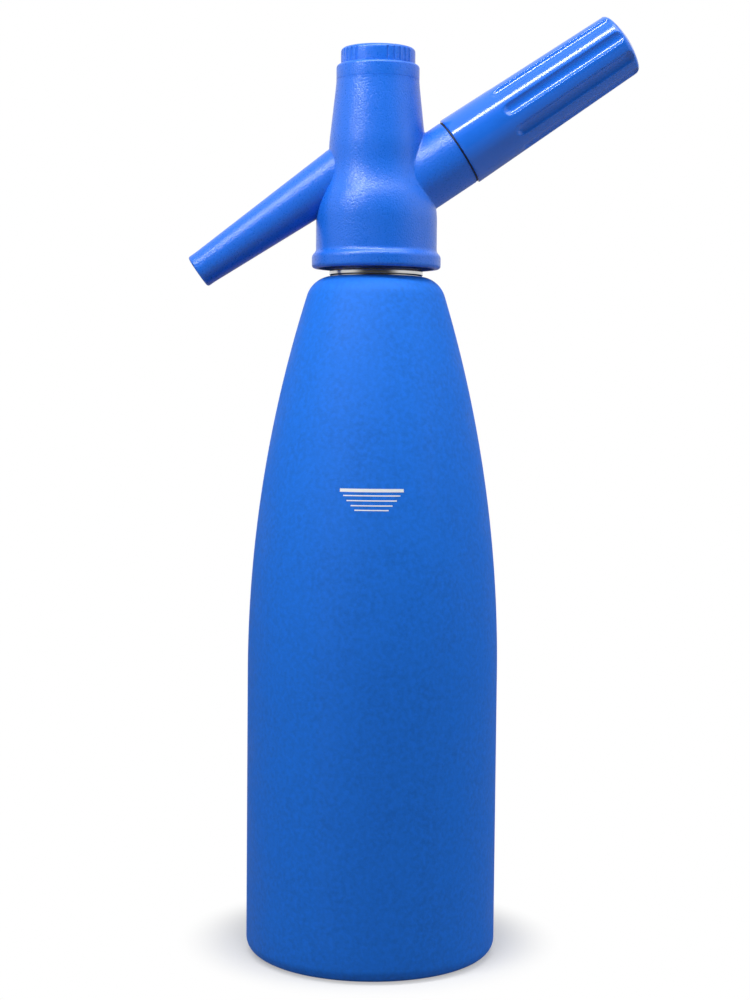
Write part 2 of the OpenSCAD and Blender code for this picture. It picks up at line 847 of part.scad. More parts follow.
module charger_nipple() {
    color(brass_tone)
        on_boss_axis()
            difference() {
                union() {
                    translate([0, 0, boss_socket_len - tail_len])
                        cylinder(r = tail_r, h = tail_len);
                    translate([0, 0, boss_socket_len])
                        cylinder(r = shank_r, h = boss_len - boss_socket_len);
                    translate([0, 0, boss_len])
                        cylinder(r = nipple_r, h = nipple_thread_len);
                }
                translate([0, 0, boss_socket_len - tail_len - 1])
                    cylinder(r = gas_r, h = boss_len);
                translate([0, 0, pin_s - seat_gap])
                    cylinder(r = pin_flange_r + seat_gap, h = nose_bore_len);
                translate([0, 0, pin_seal_s])
                    cylinder(r = charger_neck_r + free_gap, h = nose_bore_len + 1);
            }
}

module piercing_pin() {
    tip_s = nose_s + needle_reach;
    tip_len = 1.2;
    tip_r = 0.45;
    needle_bore_r = 0.35;
    color(steel_grey)
        on_boss_axis()
            difference() {
                rotate_extrude()
                    polygon([
                        [0, pin_s], [pin_flange_r, pin_s], [pin_flange_r, pin_seal_s],
                        [needle_r, pin_seal_s], [needle_r, tip_s - tip_len], [tip_r, tip_s], [0, tip_s]
                    ]);
                translate([0, 0, pin_s - 1])
                    cylinder(r = needle_bore_r, h = tip_s - pin_s + 2);
            }
}

module pin_seal() {
    color(rubber_black)
        on_boss_axis()
            ring(charger_neck_r + free_gap - seat_gap, needle_r + 2 * seat_gap, pin_seal_s, pin_seal_t);
}

module check_ball() {
    color(steel_grey)
        translate([gas_x, 0, check_ball_z])
            sphere(r = check_ball_r);
}

module check_spring() {
    color(steel_grey)
        translate([gas_x, 0, 0])
            coil(check_coil_r, check_wire_r, check_stop_z, check_ball_z - check_ball_r + 0.1, 4);
}

module check_retainer() {
    color(brass_tone)
        translate([gas_x, 0, 0])
            ring(check_bore_r - seat_gap, check_stop_bore_r, check_stop_z - check_stop_t, check_stop_t);
}

module relief_place() {
    rotate([0, 0, relief_turn])
        translate([relief_at, 0, 0])
            children();
}

module relief_body() {
    color(brass_tone)
        relief_place()
            difference() {
                translate([0, 0, deck_z])
                    cylinder(r = relief_r, h = relief_h);
                translate([0, 0, deck_z - 1])
                    cylinder(r = relief_bore_r, h = 2);
                translate([0, 0, deck_z - 1])
                    cylinder(r = gas_r, h = relief_h);
                translate([0, 0, relief_seat_z])
                    cylinder(r = relief_bore_r, h = relief_h);
                translate([0, 0, relief_seat_z + 3.5])
                    rotate([0, 90, 0])
                        cylinder(r = relief_vent_r, h = relief_r + 1);
            }
}

module relief_poppet() {
    color(rubber_black)
        relief_place()
            translate([0, 0, relief_seat_z]) {
                cylinder(r = relief_bore_r - 0.4, h = relief_disc_t);
                cylinder(r = relief_pin_r, h = relief_disc_t + relief_pin_len);
            }
}

module relief_spring() {
    coil_r = (relief_pin_r + relief_bore_r) / 2;
    color(steel_grey)
        relief_place()
            coil(coil_r, relief_wire_r, relief_seat_z + relief_disc_t, relief_top_z, 3);
}

module relief_cap() {
    color(brass_tone)
        relief_place()
            ring(relief_bore_r - seat_gap, relief_pin_r, relief_top_z, relief_cap_t);
}

// The charger's outline from neck to ball end, moved inwards by d
function charger_outline(d) =
    let (
        shoulder_s = nose_s + charger_neck_len + d / 2,
        body_s = shoulder_s + charger_shoulder_len
    )
    concat(
        backwards(s_curve([charger_r - d, -body_s], [charger_neck_r - d, -shoulder_s], 5)) * [[1, 0], [0, -1]],
        arc([0, charger_ball_s], charger_r - d, 0, 90, 12)
    );

module gas_charger() {
    cap_chamfer = 0.4;
    inside_s = nose_s + charger_wall;
    color(steel_grey)
        on_boss_axis()
            difference() {
                rotate_extrude()
                    polygon(concat(
                        [[0, nose_s], [charger_neck_r - cap_chamfer, nose_s]],
                        [[charger_neck_r, nose_s + cap_chamfer]],
                        charger_outline(0)
                    ));
                rotate_extrude()
                    polygon(concat(
                        [[0, inside_s], [charger_neck_r - charger_wall, inside_s]],
                        charger_outline(charger_wall)
                    ));
                translate([0, 0, nose_s - 1])
                    cylinder(r = pierced_r, h = charger_wall + 2);
            }
}

module seam_washer() {
    color(rubber_black)
        on_boss_axis()
            ring(boss_r - 2 * seat_gap, nipple_r + free_gap, boss_len, washer_t);
}

module charger_holder() {
    color(holder_blue)
        on_boss_axis()
            difference() {
                rotate_extrude()
                    polygon(concat(
                        [[0, holder_s]],
                        arc([holder_r - edge_r, holder_s + edge_r], edge_r, -90, 0, 3),
                        arc([holder_end_r - holder_round, holder_side_s], holder_round, 0, 90 - holder_dome_a, 5),
                        arc([0, holder_end_s - holder_dome_r], holder_dome_r, 90 - holder_dome_a, 90, 5)
                    ));
                translate([0, 0, holder_s - 1])
                    cylinder(r = bush_r, h = bush_inset + bush_len + 1);
                translate([0, 0, holder_s])
                    cylinder(r = charger_bore_r, h = charger_ball_s - holder_s);
                translate([0, 0, charger_ball_s])
                    sphere(r = charger_bore_r);
                for (i = [0:flute_count - 1])
                    rotate([0, 0, flute_turn + 360 / flute_count * i])
                        flute();
            }
}

// A rounded groove along the holder's taper, started and ended by a ball
module flute() {
    start_s = holder_s + flute_start + flute_r;
    stop_s = holder_end_s - flute_stop;
    out = flute_r - flute_depth;
    start_r = holder_r - holder_slope * (start_s - holder_s) + out;
    stop_r = holder_r - holder_slope * (stop_s - holder_s) + out;
    translate([start_r, 0, start_s]) {
        rotate([0, -atan(holder_slope), 0])
            cylinder(r = flute_r, h = norm([start_r - stop_r, stop_s - start_s]));
        sphere(r = flute_r);
    }
    translate([stop_r, 0, stop_s])
        sphere(r = flute_r);
}

module holder_bush() {
    color(brass_tone)
        on_boss_axis()
            ring(bush_r, bush_bore_r, holder_s + bush_inset, bush_len);
}

bottle();
rubber_coat();
measuring_tube();
neck_gasket();
head_casing();
spout();
pouring_tube();
thread_socket();
valve_core();
core_seal();
core_screws();
riser_holder();
riser_seal();
riser_tube();
stem_guide();
stem_seal();
button_collar();
push_button();
valve_stem();
valve_disc();
button_spring();
valve_spring();
charger_nipple();
piercing_pin();
pin_seal();
check_ball();
check_spring();
check_retainer();
relief_body();
relief_poppet();
relief_spring();
relief_cap();
gas_charger();
seam_washer();
charger_holder();
holder_bush();
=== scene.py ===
"""Soda siphon: the looks of every piece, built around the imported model.

The row frame is in metres: +Z up, the charger holder towards +X, the spout towards -X.
Outlines are written in millimetres, as (radius, height) pairs, and made metres where they are spun.
"""
import json
import math

import bmesh
import bpy
from bpy.props import FloatProperty, FloatVectorProperty, IntProperty, PointerProperty
from mathutils import Matrix, Vector
from mathutils.kdtree import KDTree


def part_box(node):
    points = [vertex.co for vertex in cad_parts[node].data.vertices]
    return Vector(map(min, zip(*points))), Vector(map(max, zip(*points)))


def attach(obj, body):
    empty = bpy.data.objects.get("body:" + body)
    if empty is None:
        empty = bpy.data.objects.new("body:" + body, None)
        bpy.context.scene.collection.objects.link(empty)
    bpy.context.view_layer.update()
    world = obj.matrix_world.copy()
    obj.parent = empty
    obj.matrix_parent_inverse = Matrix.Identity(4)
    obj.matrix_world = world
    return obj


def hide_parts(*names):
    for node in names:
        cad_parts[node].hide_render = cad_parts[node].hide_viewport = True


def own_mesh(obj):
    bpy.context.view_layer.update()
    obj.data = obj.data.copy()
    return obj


bl_info = {
    "name": "Soda Siphon",
    "version": (1, 0, 0),
    "blender": (4, 5, 0),
    "location": "View3D > Sidebar > Siphon",
    "description": "Builds the visible pieces, finishes and studio of a soda siphon",
    "category": "Object",
}

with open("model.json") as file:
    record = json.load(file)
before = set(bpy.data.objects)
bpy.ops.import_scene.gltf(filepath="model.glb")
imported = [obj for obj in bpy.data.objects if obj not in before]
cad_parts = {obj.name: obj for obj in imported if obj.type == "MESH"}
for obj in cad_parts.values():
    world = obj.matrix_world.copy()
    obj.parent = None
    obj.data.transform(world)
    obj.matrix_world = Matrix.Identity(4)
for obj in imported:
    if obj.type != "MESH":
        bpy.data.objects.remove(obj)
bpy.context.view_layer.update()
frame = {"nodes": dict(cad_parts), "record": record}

MM = 0.001
FULL_TURN = 2 * math.pi
ORIGIN, UP = (0, 0, 0), (0, 0, 1)
COAT_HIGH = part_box("rubber_coat")[1]
HOLDER_TILT = math.radians(34)
SPOUT_TILT = math.radians(34.9)

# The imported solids' heights (_Z), radii (_R) and distances along the charger's axis (_S), in millimetres
FOOT_H = 0.3
BASE_ROUND = 5.0
STRAIGHT_Z = 105.0
SHOULDER_Z = 251.1
SHOULDER_ROUND = 10.0
COAT_T = 0.8
COAT_GAP = 0.25
BOTTLE_WALL = 1.1
FOOT_IN_R, FOOT_OUT_R = 35.0, 39.0
DOME_H = 6.0
BEAD_R, NECK_R, MOUTH_R = 17.2, 16.8, 13.2
SHOULDER_MID_R = BEAD_R - 1.4
BEAD_Z = 253.1
SKIRT_Z, SOCKET_Z, RIM_Z = 253.9, 257.0, 266.0
TUBE_TOP_Z, PLATE_Z, FLANGE_Z, DECK_Z = 267.6, 270.0, 273.0, 275.0
BOSS_Z, SPOUT_Z = 276.6, 297.9
RING_Z, BELLY_Z, FLARE_Z, WAIST_Z = 257.6, 261.0, 271.5, 293.5
CONE_Z, LIP_Z, COLLAR_Z, COLLAR_TOP_Z = 299.0, 321.2, 322.5, 327.9
SPRING_Z, CEILING_Z, BUTTON_Z = 310.8, 331.5, 333.9
SKIRT_R, SKIRT_MOUTH_R, SKIRT_ROUND = 23.7, 21.2, 1.2
BELLY_R, WAIST_R, COLLAR_R = 22.2, 17.7, 15.2
COLLAR_BORE_R, SPIGOT_R = 13.95, 14.575
CORE_TOP_R = 8.2
BUTTON_R = 13.6
SOCKET_R, SOCKET_BORE_R, SOCKET_HOLE_R = 20.2, 17.15, 12.05
TUBE_R, TUBE_BORE_R, TUBE_FLANGE_R, GASKET_BORE_R = 12.7, 11.5, 15.9, 12.5
BOSS_LEN, BOSS_R, SHANK_R = 35.8, 12.6, 7.5
HOLDER_S, HOLDER_END_S = 36.3, 109.5
HOLDER_R, HOLDER_END_R = 13.2, 12.0
NIPPLE_R, BUSH_R, BUSH_BORE_R, BUSH_END = 9.05, 11.2, 10.15, 11.0
SPOUT_ROOT_R, SPOUT_ROOT_AT, SPOUT_TIP_R, SPOUT_TIP, SPOUT_LEN = 9.2, 24.0, 6.4, 76.5, 80.0
PIN_SEAT_S, NOSE_S, CHARGER_BALL_S, CHARGER_R = 38.3, 41.2, 97.6, 9.1

# Screw threads: their pitch, and how far in from the first edge the ridge starts
NECK_PITCH, NECK_LEAD = 3.0, 1.3
NIPPLE_PITCH, NIPPLE_LEAD = 2.0, 1.2
NUT_LEAD = 1.0

# A seam's chamfer, the air between pieces that fit into each other, and the casing's longest facet
SEAM, AIR, FACET = 0.08, 0.05, 0.7


def arc(centre, radius, start, end, steps):
    """Points on an arc, with angles in degrees from +r towards +z."""
    angles = [math.radians(start + (end - start) * i / steps) for i in range(steps + 1)]
    return [(centre[0] + radius * math.cos(a), centre[1] + radius * math.sin(a)) for a in angles]


def s_curve(low, high, steps):
    """Two equal arcs that lead from a vertical at low to a vertical at high."""
    inwards, upwards = low[0] - high[0], high[1] - low[1]
    radius = (upwards**2 + inwards**2) / (4 * inwards)
    angle = math.degrees(2 * math.atan(inwards / upwards))
    lower = arc((low[0] - radius, low[1]), radius, 0, angle, steps)
    upper = arc((high[0] + radius, high[1]), radius, 180 + angle, 180, steps)
    return lower + upper[1:]


def rounded(corners, closed=True, steps=5):
    """An outline from corners (r, z) or (r, z, round), with an arc at each corner that has a round."""
    points = []
    count = len(corners)
    for i, corner in enumerate(corners):
        here = Vector(corner[:2])
        radius = corner[2] if len(corner) > 2 else 0
        if not radius or (not closed and i in (0, count - 1)):
            points.append(tuple(here))
            continue
        before = (Vector(corners[i - 1][:2]) - here).normalized()
        after = (Vector(corners[(i + 1) % count][:2]) - here).normalized()
        half = before.angle(after) / 2
        centre = here + (before + after).normalized() * radius / math.sin(half)
        first = here + before * radius / math.tan(half) - centre
        last = here + after * radius / math.tan(half) - centre
        turn = first.angle_signed(last)
        for step in range(steps + 1):
            points.append(tuple(centre + Matrix.Rotation(-turn * step / steps, 2) @ first))
    return points


def dense(points, longest, closed=False):
    """The same outline with no stretch longer than longest."""
    ends = points[1:] + (points[:1] if closed else [])
    result = []
    for (r0, z0), (r1, z1) in zip(points, ends):
        parts = max(1, math.ceil(math.hypot(r1 - r0, z1 - z0) / longest))
        result += [(r0 + (r1 - r0) * i / parts, z0 + (z1 - z0) * i / parts) for i in range(parts)]
    return result if closed else result + [points[-1]]


def soften(points, low, high, passes):
    """Rounds off the kinks of an outline between two heights."""
    points = [list(p) for p in points]
    for _ in range(passes):
        before = [p[0] for p in points]
        for i in range(1, len(points) - 1):
            if low < points[i][1] < high:
                points[i][0] = (before[i - 1] + 2 * before[i] + before[i + 1]) / 4
    return [tuple(p) for p in points]


def spin_outline(points, steps=96, closed=True):
    """A bmesh turned from an outline: a closed ring, or a solid that starts and ends on the axis."""
    shape = bmesh.new()
    verts = [shape.verts.new((r * MM, 0, z * MM)) for r, z in points]
    pairs = list(zip(verts, verts[1:])) + ([(verts[-1], verts[0])] if closed else [])
    edges = [shape.edges.new(pair) for pair in pairs]
    bmesh.ops.spin(shape, geom=verts + edges, cent=ORIGIN, axis=UP, dvec=ORIGIN,
                   angle=FULL_TURN, steps=steps, use_merge=True, use_duplicate=False)
    bmesh.ops.remove_doubles(shape, verts=shape.verts, dist=0.002 * MM)
    bmesh.ops.recalc_face_normals(shape, faces=shape.faces)
    return shape


def sweep(section, angle, steps, rise=0.0):
    """A bmesh of a closed section (r, z) that turns about the axis and climbs, with closed ends."""
    part = bmesh.new()
    verts = [part.verts.new((r * MM, 0, z * MM)) for r, z in section]
    edges = [part.edges.new((verts[i - 1], verts[i])) for i in range(len(verts))]
    bmesh.ops.spin(part, geom=verts + edges, cent=ORIGIN, axis=UP, dvec=(0, 0, rise * MM / steps),
                   angle=angle, steps=steps, use_merge=False, use_duplicate=False)
    bmesh.ops.holes_fill(part, edges=part.edges, sides=0)
    bmesh.ops.recalc_face_normals(part, faces=part.faces)
    return part


def merge_in(shape, part, place):
    """Adds another bmesh to shape, moved by place."""
    bmesh.ops.transform(part, matrix=place, verts=part.verts)
    mesh = bpy.data.meshes.new("part")
    part.to_mesh(mesh)
    part.free()
    shape.from_mesh(mesh)
    bpy.data.meshes.remove(mesh)


def set_radius(vert, radius, wanted):
    """Moves a vertex from one distance from the axis to another."""
    vert.co.x *= wanted / radius
    vert.co.y *= wanted / radius


def thread(shape, root_r, crest_r, low_z, high_z, pitch, offset=0.0):
    """Adds a screw thread's ridge between two heights. Its ends run out into the wall."""
    steps_a_turn, run_out = 72, 0.12
    side = 1 if crest_r > root_r else -1
    foot_r = root_r - side * 0.2
    buried_r = (foot_r - side * 0.05) * MM
    wide, narrow = 0.27 * pitch, 0.08 * pitch
    turns = (high_z - low_z) / pitch
    section = [(foot_r, low_z - wide), (crest_r, low_z - narrow), (crest_r, low_z + narrow),
               (foot_r, low_z + wide)]
    ridge = sweep(section, turns * FULL_TURN, round(turns * steps_a_turn), turns * pitch)
    for vert in ridge.verts:
        angle = math.atan2(vert.co.y, vert.co.x) / FULL_TURN
        lift = (vert.co.z / MM - low_z) / pitch
        place = angle + round(lift - angle)
        fade = min(1.0, max(0.0, min(place, turns - place) / run_out))
        radius = vert.co.to_2d().length
        if fade < 1:
            set_radius(vert, radius, buried_r + (radius - buried_r) * fade)
    merge_in(shape, ridge, Matrix.Rotation(offset * FULL_TURN, 4, "Z"))


def between_ridges(start, mate_start, pitch):
    """The turn that puts a ridge half a pitch from its mate's."""
    return (start - mate_start) / pitch + 0.5


def on_boss():
    """Local +Z runs outwards along the charger's axis."""
    return Matrix.Translation((0, 0, BOSS_Z * MM)) @ Matrix.Rotation(math.pi / 2 - HOLDER_TILT, 4, "Y")


def on_spout():
    """Local +Z runs outwards along the spout's axis."""
    return Matrix.Translation((0, 0, SPOUT_Z * MM)) @ Matrix.Rotation(-math.pi / 2 - SPOUT_TILT, 4, "Y")


def make_object(shape, name, place=None):
    """Turns a bmesh into an object whose place is in its mesh."""
    if place is not None:
        bmesh.ops.transform(shape, matrix=place, verts=shape.verts)
    mesh = bpy.data.meshes.new(name)
    shape.to_mesh(mesh)
    shape.free()
    piece = bpy.data.objects.new(name, mesh)
    bpy.context.scene.collection.objects.link(piece)
    return piece


def finish_piece(piece, slot, body, *nodes, sharp=32, finish=None):
    """Shades a piece, gives it its finish, and hangs it on its body in place of its nodes."""
    piece.data.shade_smooth()
    piece.data.set_sharp_from_angle(angle=math.radians(sharp))
    piece.data.materials.clear()
    piece.data.materials.append(finish_of(finish or slot))
    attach(piece, body)
    if nodes:
        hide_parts(*nodes)


def turned_piece(name, points, slot, body, node, steps=96, place=None, closed=True, ridge=None):
    """Makes a whole piece from one outline, with a thread if its ridge is given."""
    shape = spin_outline(points, steps, closed)
    if ridge:
        thread(shape, *ridge)
    finish_piece(make_object(shape, name, place), slot, body, node)


def combine(base, points, steps, place=None, operation="DIFFERENCE"):
    """Cuts the solid turned from an outline out of a piece, or joins it on."""
    tool = make_object(spin_outline(points, steps, closed=False), "tool", place)
    step = base.modifiers.new("combine", "BOOLEAN")
    step.operation = operation
    step.solver = "EXACT"
    step.object = tool
    graph = bpy.context.evaluated_depsgraph_get()
    result = bpy.data.meshes.new_from_object(base.evaluated_get(graph))
    base.modifiers.clear()
    base.data = result
    bpy.data.objects.remove(tool)


# Finishes

def hex_colour(code):
    """An sRGB hex value as linear red, green, blue, alpha."""
    parts = [int(code[i:i + 2], 16) / 255 for i in (1, 3, 5)]
    return [p / 12.92 if p <= 0.04045 else ((p + 0.055) / 1.055) ** 2.4 for p in parts] + [1.0]


def tint(colour, factor):
    """A linear colour made lighter or darker."""
    return [min(1.0, c * factor) for c in colour[:3]] + [1.0]


def add(tree, kind, inputs=None, **settings):
    """Adds a node, with its settings, and its inputs set to values or linked from other nodes."""
    made = tree.nodes.new("ShaderNode" + kind)
    for key, value in settings.items():
        setattr(made, key, value)
    for key, value in (inputs or {}).items():
        if isinstance(value, bpy.types.NodeSocket):
            tree.links.new(value, made.inputs[key])
        else:
            made.inputs[key].default_value = value
    return made


# Where nearly all of a noise's values lie, and the whole of it
USUAL, WHOLE = (0.3, 0.7), (0.0, 1.0)
WHITE = hex_colour("#ffffff")


def make_finish(name, constants, patterns, tones, roughness=None, reliefs=()):
    """Builds a material from patterns of a real size.

    patterns gives each one's size in millimetres, its detail and its stretch along the axes. tones is
    the ground colour, then (pattern, colour, cover, limits) for each one laid over it. roughness is
    (pattern, low, high, limits). reliefs are (pattern, depth in millimetres, strength, limits), each on
    top of the last. The limits are the pattern's values where the change starts and ends.
    """
    made = bpy.data.materials.new(name)
    made.use_nodes = True
    tree = made.node_tree
    shader = tree.nodes["Principled BSDF"]
    for key, value in constants.items():
        shader.inputs[key].default_value = value
    place = add(tree, "TexCoord").outputs["Object"]
    values = {}
    for key, (size, detail, *stretch) in patterns.items():
        spot = place
        if stretch:
            spot = add(tree, "Mapping", {"Vector": place, "Scale": stretch}).outputs["Vector"]
        values[key] = add(tree, "TexNoise", {
            "Vector": spot, "Scale": 1 / (size * MM), "Detail": detail}).outputs["Fac"]
    base = tones[0]
    for key, colour, cover, (least, most) in tones[1:]:
        share = add(tree, "MapRange", {
            "Value": values[key], "From Min": least, "From Max": most, "To Min": 0.0, "To Max": cover})
        mixed = add(tree, "Mix", {0: share.outputs["Result"], 6: base, 7: colour}, data_type="RGBA")
        base = mixed.outputs[2]
    tree.links.new(base, shader.inputs["Base Color"])
    if roughness:
        key, low, high, (least, most) = roughness
        rough = add(tree, "MapRange", {
            "Value": values[key], "From Min": least, "From Max": most, "To Min": low, "To Max": high})
        tree.links.new(rough.outputs["Result"], shader.inputs["Roughness"])
    for key, depth, strength, *limits in reliefs:
        height = values[key]
        if limits:
            least, most = limits[0]
            height = add(tree, "MapRange", {
                "Value": height, "From Min": least, "From Max": most}).outputs["Result"]
        inputs = {"Height": height, "Distance": depth * MM, "Strength": strength}
        if shader.inputs["Normal"].is_linked:
            inputs["Normal"] = shader.inputs["Normal"].links[0].from_socket
        relief = add(tree, "Bump", inputs)
        tree.links.new(relief.outputs["Normal"], shader.inputs["Normal"])
    return made


def soft_touch_rubber():
    """Silicone rubber, dipped and cured matt: a velvety, faintly cloudy face with no sharp highlight."""
    coat = bpy.context.scene.siphon_colours.coat
    # The real skin is finer than 0.1 mm, and is drawn coarser so that it shows
    return make_finish(
        "soft_touch_silicone_rubber", {"Metallic": 0.0, "IOR": 1.40, "Specular IOR Level": 0.35},
        {"clouds": (14, 4), "flecks": (1.6, 2), "skin": (0.7, 2), "dimples": (2.4, 2)},
        [tint(coat, 0.92), ("clouds", tint(coat, 1.03), 1.0, USUAL), ("flecks", tint(coat, 1.2), 0.9, USUAL)],
        ("clouds", 0.56, 0.66, USUAL), [("skin", 0.05, 0.9), ("dimples", 0.03, 0.5)])


def spark_eroded_abs():
    """ABS moulded in a spark-eroded tool: an even grain that breaks highlights into a soft glitter."""
    plastic = bpy.context.scene.siphon_colours.plastic
    # The real grain is about 0.2 mm, and is drawn coarser so that it shows
    return make_finish(
        "spark_eroded_abs", {"Metallic": 0.0, "IOR": 1.53},
        {"patches": (9, 3), "grain": (0.6, 2)},
        [tint(plastic, 0.97), ("patches", tint(plastic, 1.03), 1.0, USUAL),
         ("grain", tint(plastic, 1.35), 1.0, WHOLE)],
        ("grain", 0.25, 0.38, USUAL), [("grain", 0.14, 1.0)])


def polished_abs():
    """ABS moulded in a polished tool: a wet gloss with the slight waviness of cooled plastic."""
    holder = bpy.context.scene.siphon_colours.holder
    return make_finish(
        "polished_abs", {"Metallic": 0.0, "IOR": 1.53},
        {"flow": (11, 2), "rubs": (8, 1), "waves": (9, 0)},
        [tint(holder, 0.97), ("flow", tint(holder, 1.03), 1.0, USUAL)],
        ("rubs", 0.12, 0.15, USUAL), [("waves", 0.01, 0.3)])


def polished_steel():
    """Stainless steel, polished on a wheel: near mirror with faint rings round the axis."""
    return make_finish(
        "polished_stainless_steel", {"Metallic": 1.0}, {"rings": (0.35, 3, 0.02, 0.02, 1)},
        [hex_colour("#c9c9c8"), ("rings", hex_colour("#dcdcda"), 1.0, USUAL)],
        ("rings", 0.15, 0.25, USUAL), [("rings", 0.01, 0.4)])


def drawn_steel():
    """Stainless wire and bar, drawn: a grey satin with fine lengthwise lines."""
    return make_finish(
        "drawn_stainless_steel", {"Metallic": 1.0}, {"lines": (0.3, 3, 1, 1, 0.15)},
        [hex_colour("#9fa2a6"), ("lines", hex_colour("#bcbec1"), 1.0, USUAL)],
        ("lines", 0.28, 0.42, USUAL), [("lines", 0.01, 0.5)])


def plated_steel():
    """Deep-drawn steel, zinc-plated: dull silver with soft cloudy patches."""
    return make_finish(
        "zinc_plated_steel", {"Metallic": 1.0}, {"clouds": (6, 5), "crystals": (0.5, 3)},
        [hex_colour("#b4b3ad"), ("clouds", hex_colour("#cfcec9"), 1.0, USUAL)],
        ("clouds", 0.24, 0.38, USUAL), [("crystals", 0.01, 0.4)])


def turned_brass():
    """Free-cutting brass off the lathe: yellow metal with tool rings and a little tarnish."""
    return make_finish(
        "turned_brass", {"Metallic": 1.0}, {"tarnish": (5, 4), "rings": (0.4, 2, 0.05, 0.05, 1)},
        [hex_colour("#d8bd74"), ("tarnish", hex_colour("#b0904c"), 1.0, (0.4, 0.75))],
        ("rings", 0.24, 0.38, USUAL), [("rings", 0.015, 0.5)])


def black_nitrile():
    """Nitrile rubber, moulded: near black and matt, with dusty specks."""
    dusty = (0.55, 0.8)
    return make_finish(
        "black_nitrile_rubber", {"Metallic": 0.0, "IOR": 1.5}, {"dust": (0.7, 4), "skin": (0.3, 2)},
        [hex_colour("#17181a"), ("dust", hex_colour("#2c2d30"), 1.0, dusty)],
        ("dust", 0.55, 0.7, dusty), [("skin", 0.02, 0.5)])


def natural_polypropylene():
    """Natural polypropylene, moulded thin: milky, waxy and a little see-through."""
    return make_finish(
        "natural_polypropylene",
        {"Metallic": 0.0, "IOR": 1.49, "Subsurface Weight": 0.25, "Subsurface Scale": 0.002},
        {"flow": (12, 2, 1, 1, 0.3), "skin": (0.8, 2)},
        [hex_colour("#c9cfd2"), ("flow", hex_colour("#d8dcdd"), 1.0, USUAL)],
        ("flow", 0.28, 0.38, USUAL), [("skin", 0.01, 0.4)])


def printed_ink():
    """White pad-printing ink: an opaque film with slightly worn, uneven cover."""
    mark = bpy.context.scene.siphon_colours.mark
    return make_finish(
        "white_pad_print_ink", {"Metallic": 0.0, "IOR": 1.5}, {"cover": (0.5, 3)},
        [tint(mark, 0.93), ("cover", tint(mark, 1.0), 1.0, USUAL)],
        ("cover", 0.4, 0.5, USUAL), [("cover", 0.01, 0.3, USUAL)])


MAKERS = {
    "blue_rubber": soft_touch_rubber, "blue_plastic": spark_eroded_abs,
    "blue_gloss_plastic": polished_abs, "polished_steel": polished_steel, "plain_steel": drawn_steel,
    "plated_steel": plated_steel, "brass": turned_brass, "black_rubber": black_nitrile,
    "clear_plastic": natural_polypropylene, "ink": printed_ink,
}
made_materials = {}


def finish_of(slot):
    """The material of a slot of the record, made once."""
    if slot not in made_materials:
        made_materials[slot] = MAKERS[slot]()
    return made_materials[slot]


# Properties

def length(name, description, default):
    return FloatProperty(name=name, description=description, default=default * MM, unit="LENGTH")


def angle(name, description, degrees):
    return FloatProperty(name=name, description=description, default=math.radians(degrees), subtype="ANGLE")


def colour(name, covers, code):
    return FloatVectorProperty(name=name, description="Colour of " + covers, subtype="COLOR",
                               size=3, min=0, max=1, default=hex_colour(code)[:3])


class SiphonSizes(bpy.types.PropertyGroup):
    body_radius: length("Body radius", "Outer radius of the coated bottle", COAT_HIGH[0] / MM)
    grooves: IntProperty(name="Grooves", description="Grooves in each of the button's four grip zones",
                         default=5)
    groove_pitch: angle("Groove pitch", "Angle between neighbouring grip grooves", 10)
    panel_turn: angle("Panel turn", "Turn of the button's front panel from +X", 260)
    flutes: IntProperty(name="Flutes", description="Grip flutes round the charger holder", default=9)
    flute_depth: length("Flute depth", "Depth of the holder's flutes", 1.1)
    flute_turn: angle("Flute turn", "Turn of the first flute round the holder", 22)
    mark_height: length("Level mark", "Height of the level mark's top line", 174.6)
    mark_width: length("Mark width", "Width of the level mark's top line", 22.6)


class SiphonColours(bpy.types.PropertyGroup):
    coat: colour("Coat", "the rubber coat", "#196cd6")
    plastic: colour("Head", "head, spout and button", "#1661cb")
    holder: colour("Holder", "the charger holder", "#1f6ada")
    mark: colour("Mark", "the level mark", "#f4f6f8")


# Bottle

def bottle_outline(inset, end_r):
    """The bottle from base to shoulder, moved inwards by inset and ended at radius end_r."""
    body_r = bpy.context.scene.siphon_sizes.body_radius / MM
    base_c = (body_r - BASE_ROUND, FOOT_H + BASE_ROUND)
    shoulder_c = (SHOULDER_MID_R, SHOULDER_Z - SHOULDER_ROUND)
    inwards, upwards = body_r - shoulder_c[0], shoulder_c[1] - STRAIGHT_Z
    curve_r = (inwards**2 + upwards**2 - SHOULDER_ROUND**2) / (2 * (inwards - SHOULDER_ROUND))
    curve_end = math.degrees(math.asin(upwards / (curve_r - SHOULDER_ROUND)))
    last = math.degrees(math.acos((end_r - shoulder_c[0]) / (SHOULDER_ROUND - inset)))
    lower = arc(base_c, BASE_ROUND - inset, -90, 0, 8)
    middle = arc((body_r - curve_r, STRAIGHT_Z), curve_r - inset, 0, curve_end, 56)
    upper = arc(shoulder_c, SHOULDER_ROUND - inset, curve_end, last, 14)
    straight = dense([lower[-1], middle[0]], 8)
    return lower[:-1] + straight[:-1] + middle + upper[1:]


def radius_at(points, height):
    """The radius of an outline where it first passes a height, or None where it doesn't."""
    for (r0, z0), (r1, z1) in zip(points, points[1:]):
        if z0 <= height <= z1 and z1 > z0:
            return r0 + (r1 - r0) * (height - z0) / (z1 - z0)
    return None


def coat_radius(height):
    """Outer radius of the coat at a height, in millimetres."""
    radius = radius_at(bottle_outline(0, BEAD_R + COAT_GAP), height)
    if radius is None:
        raise ValueError(f"the coat has no height {height}")
    return radius


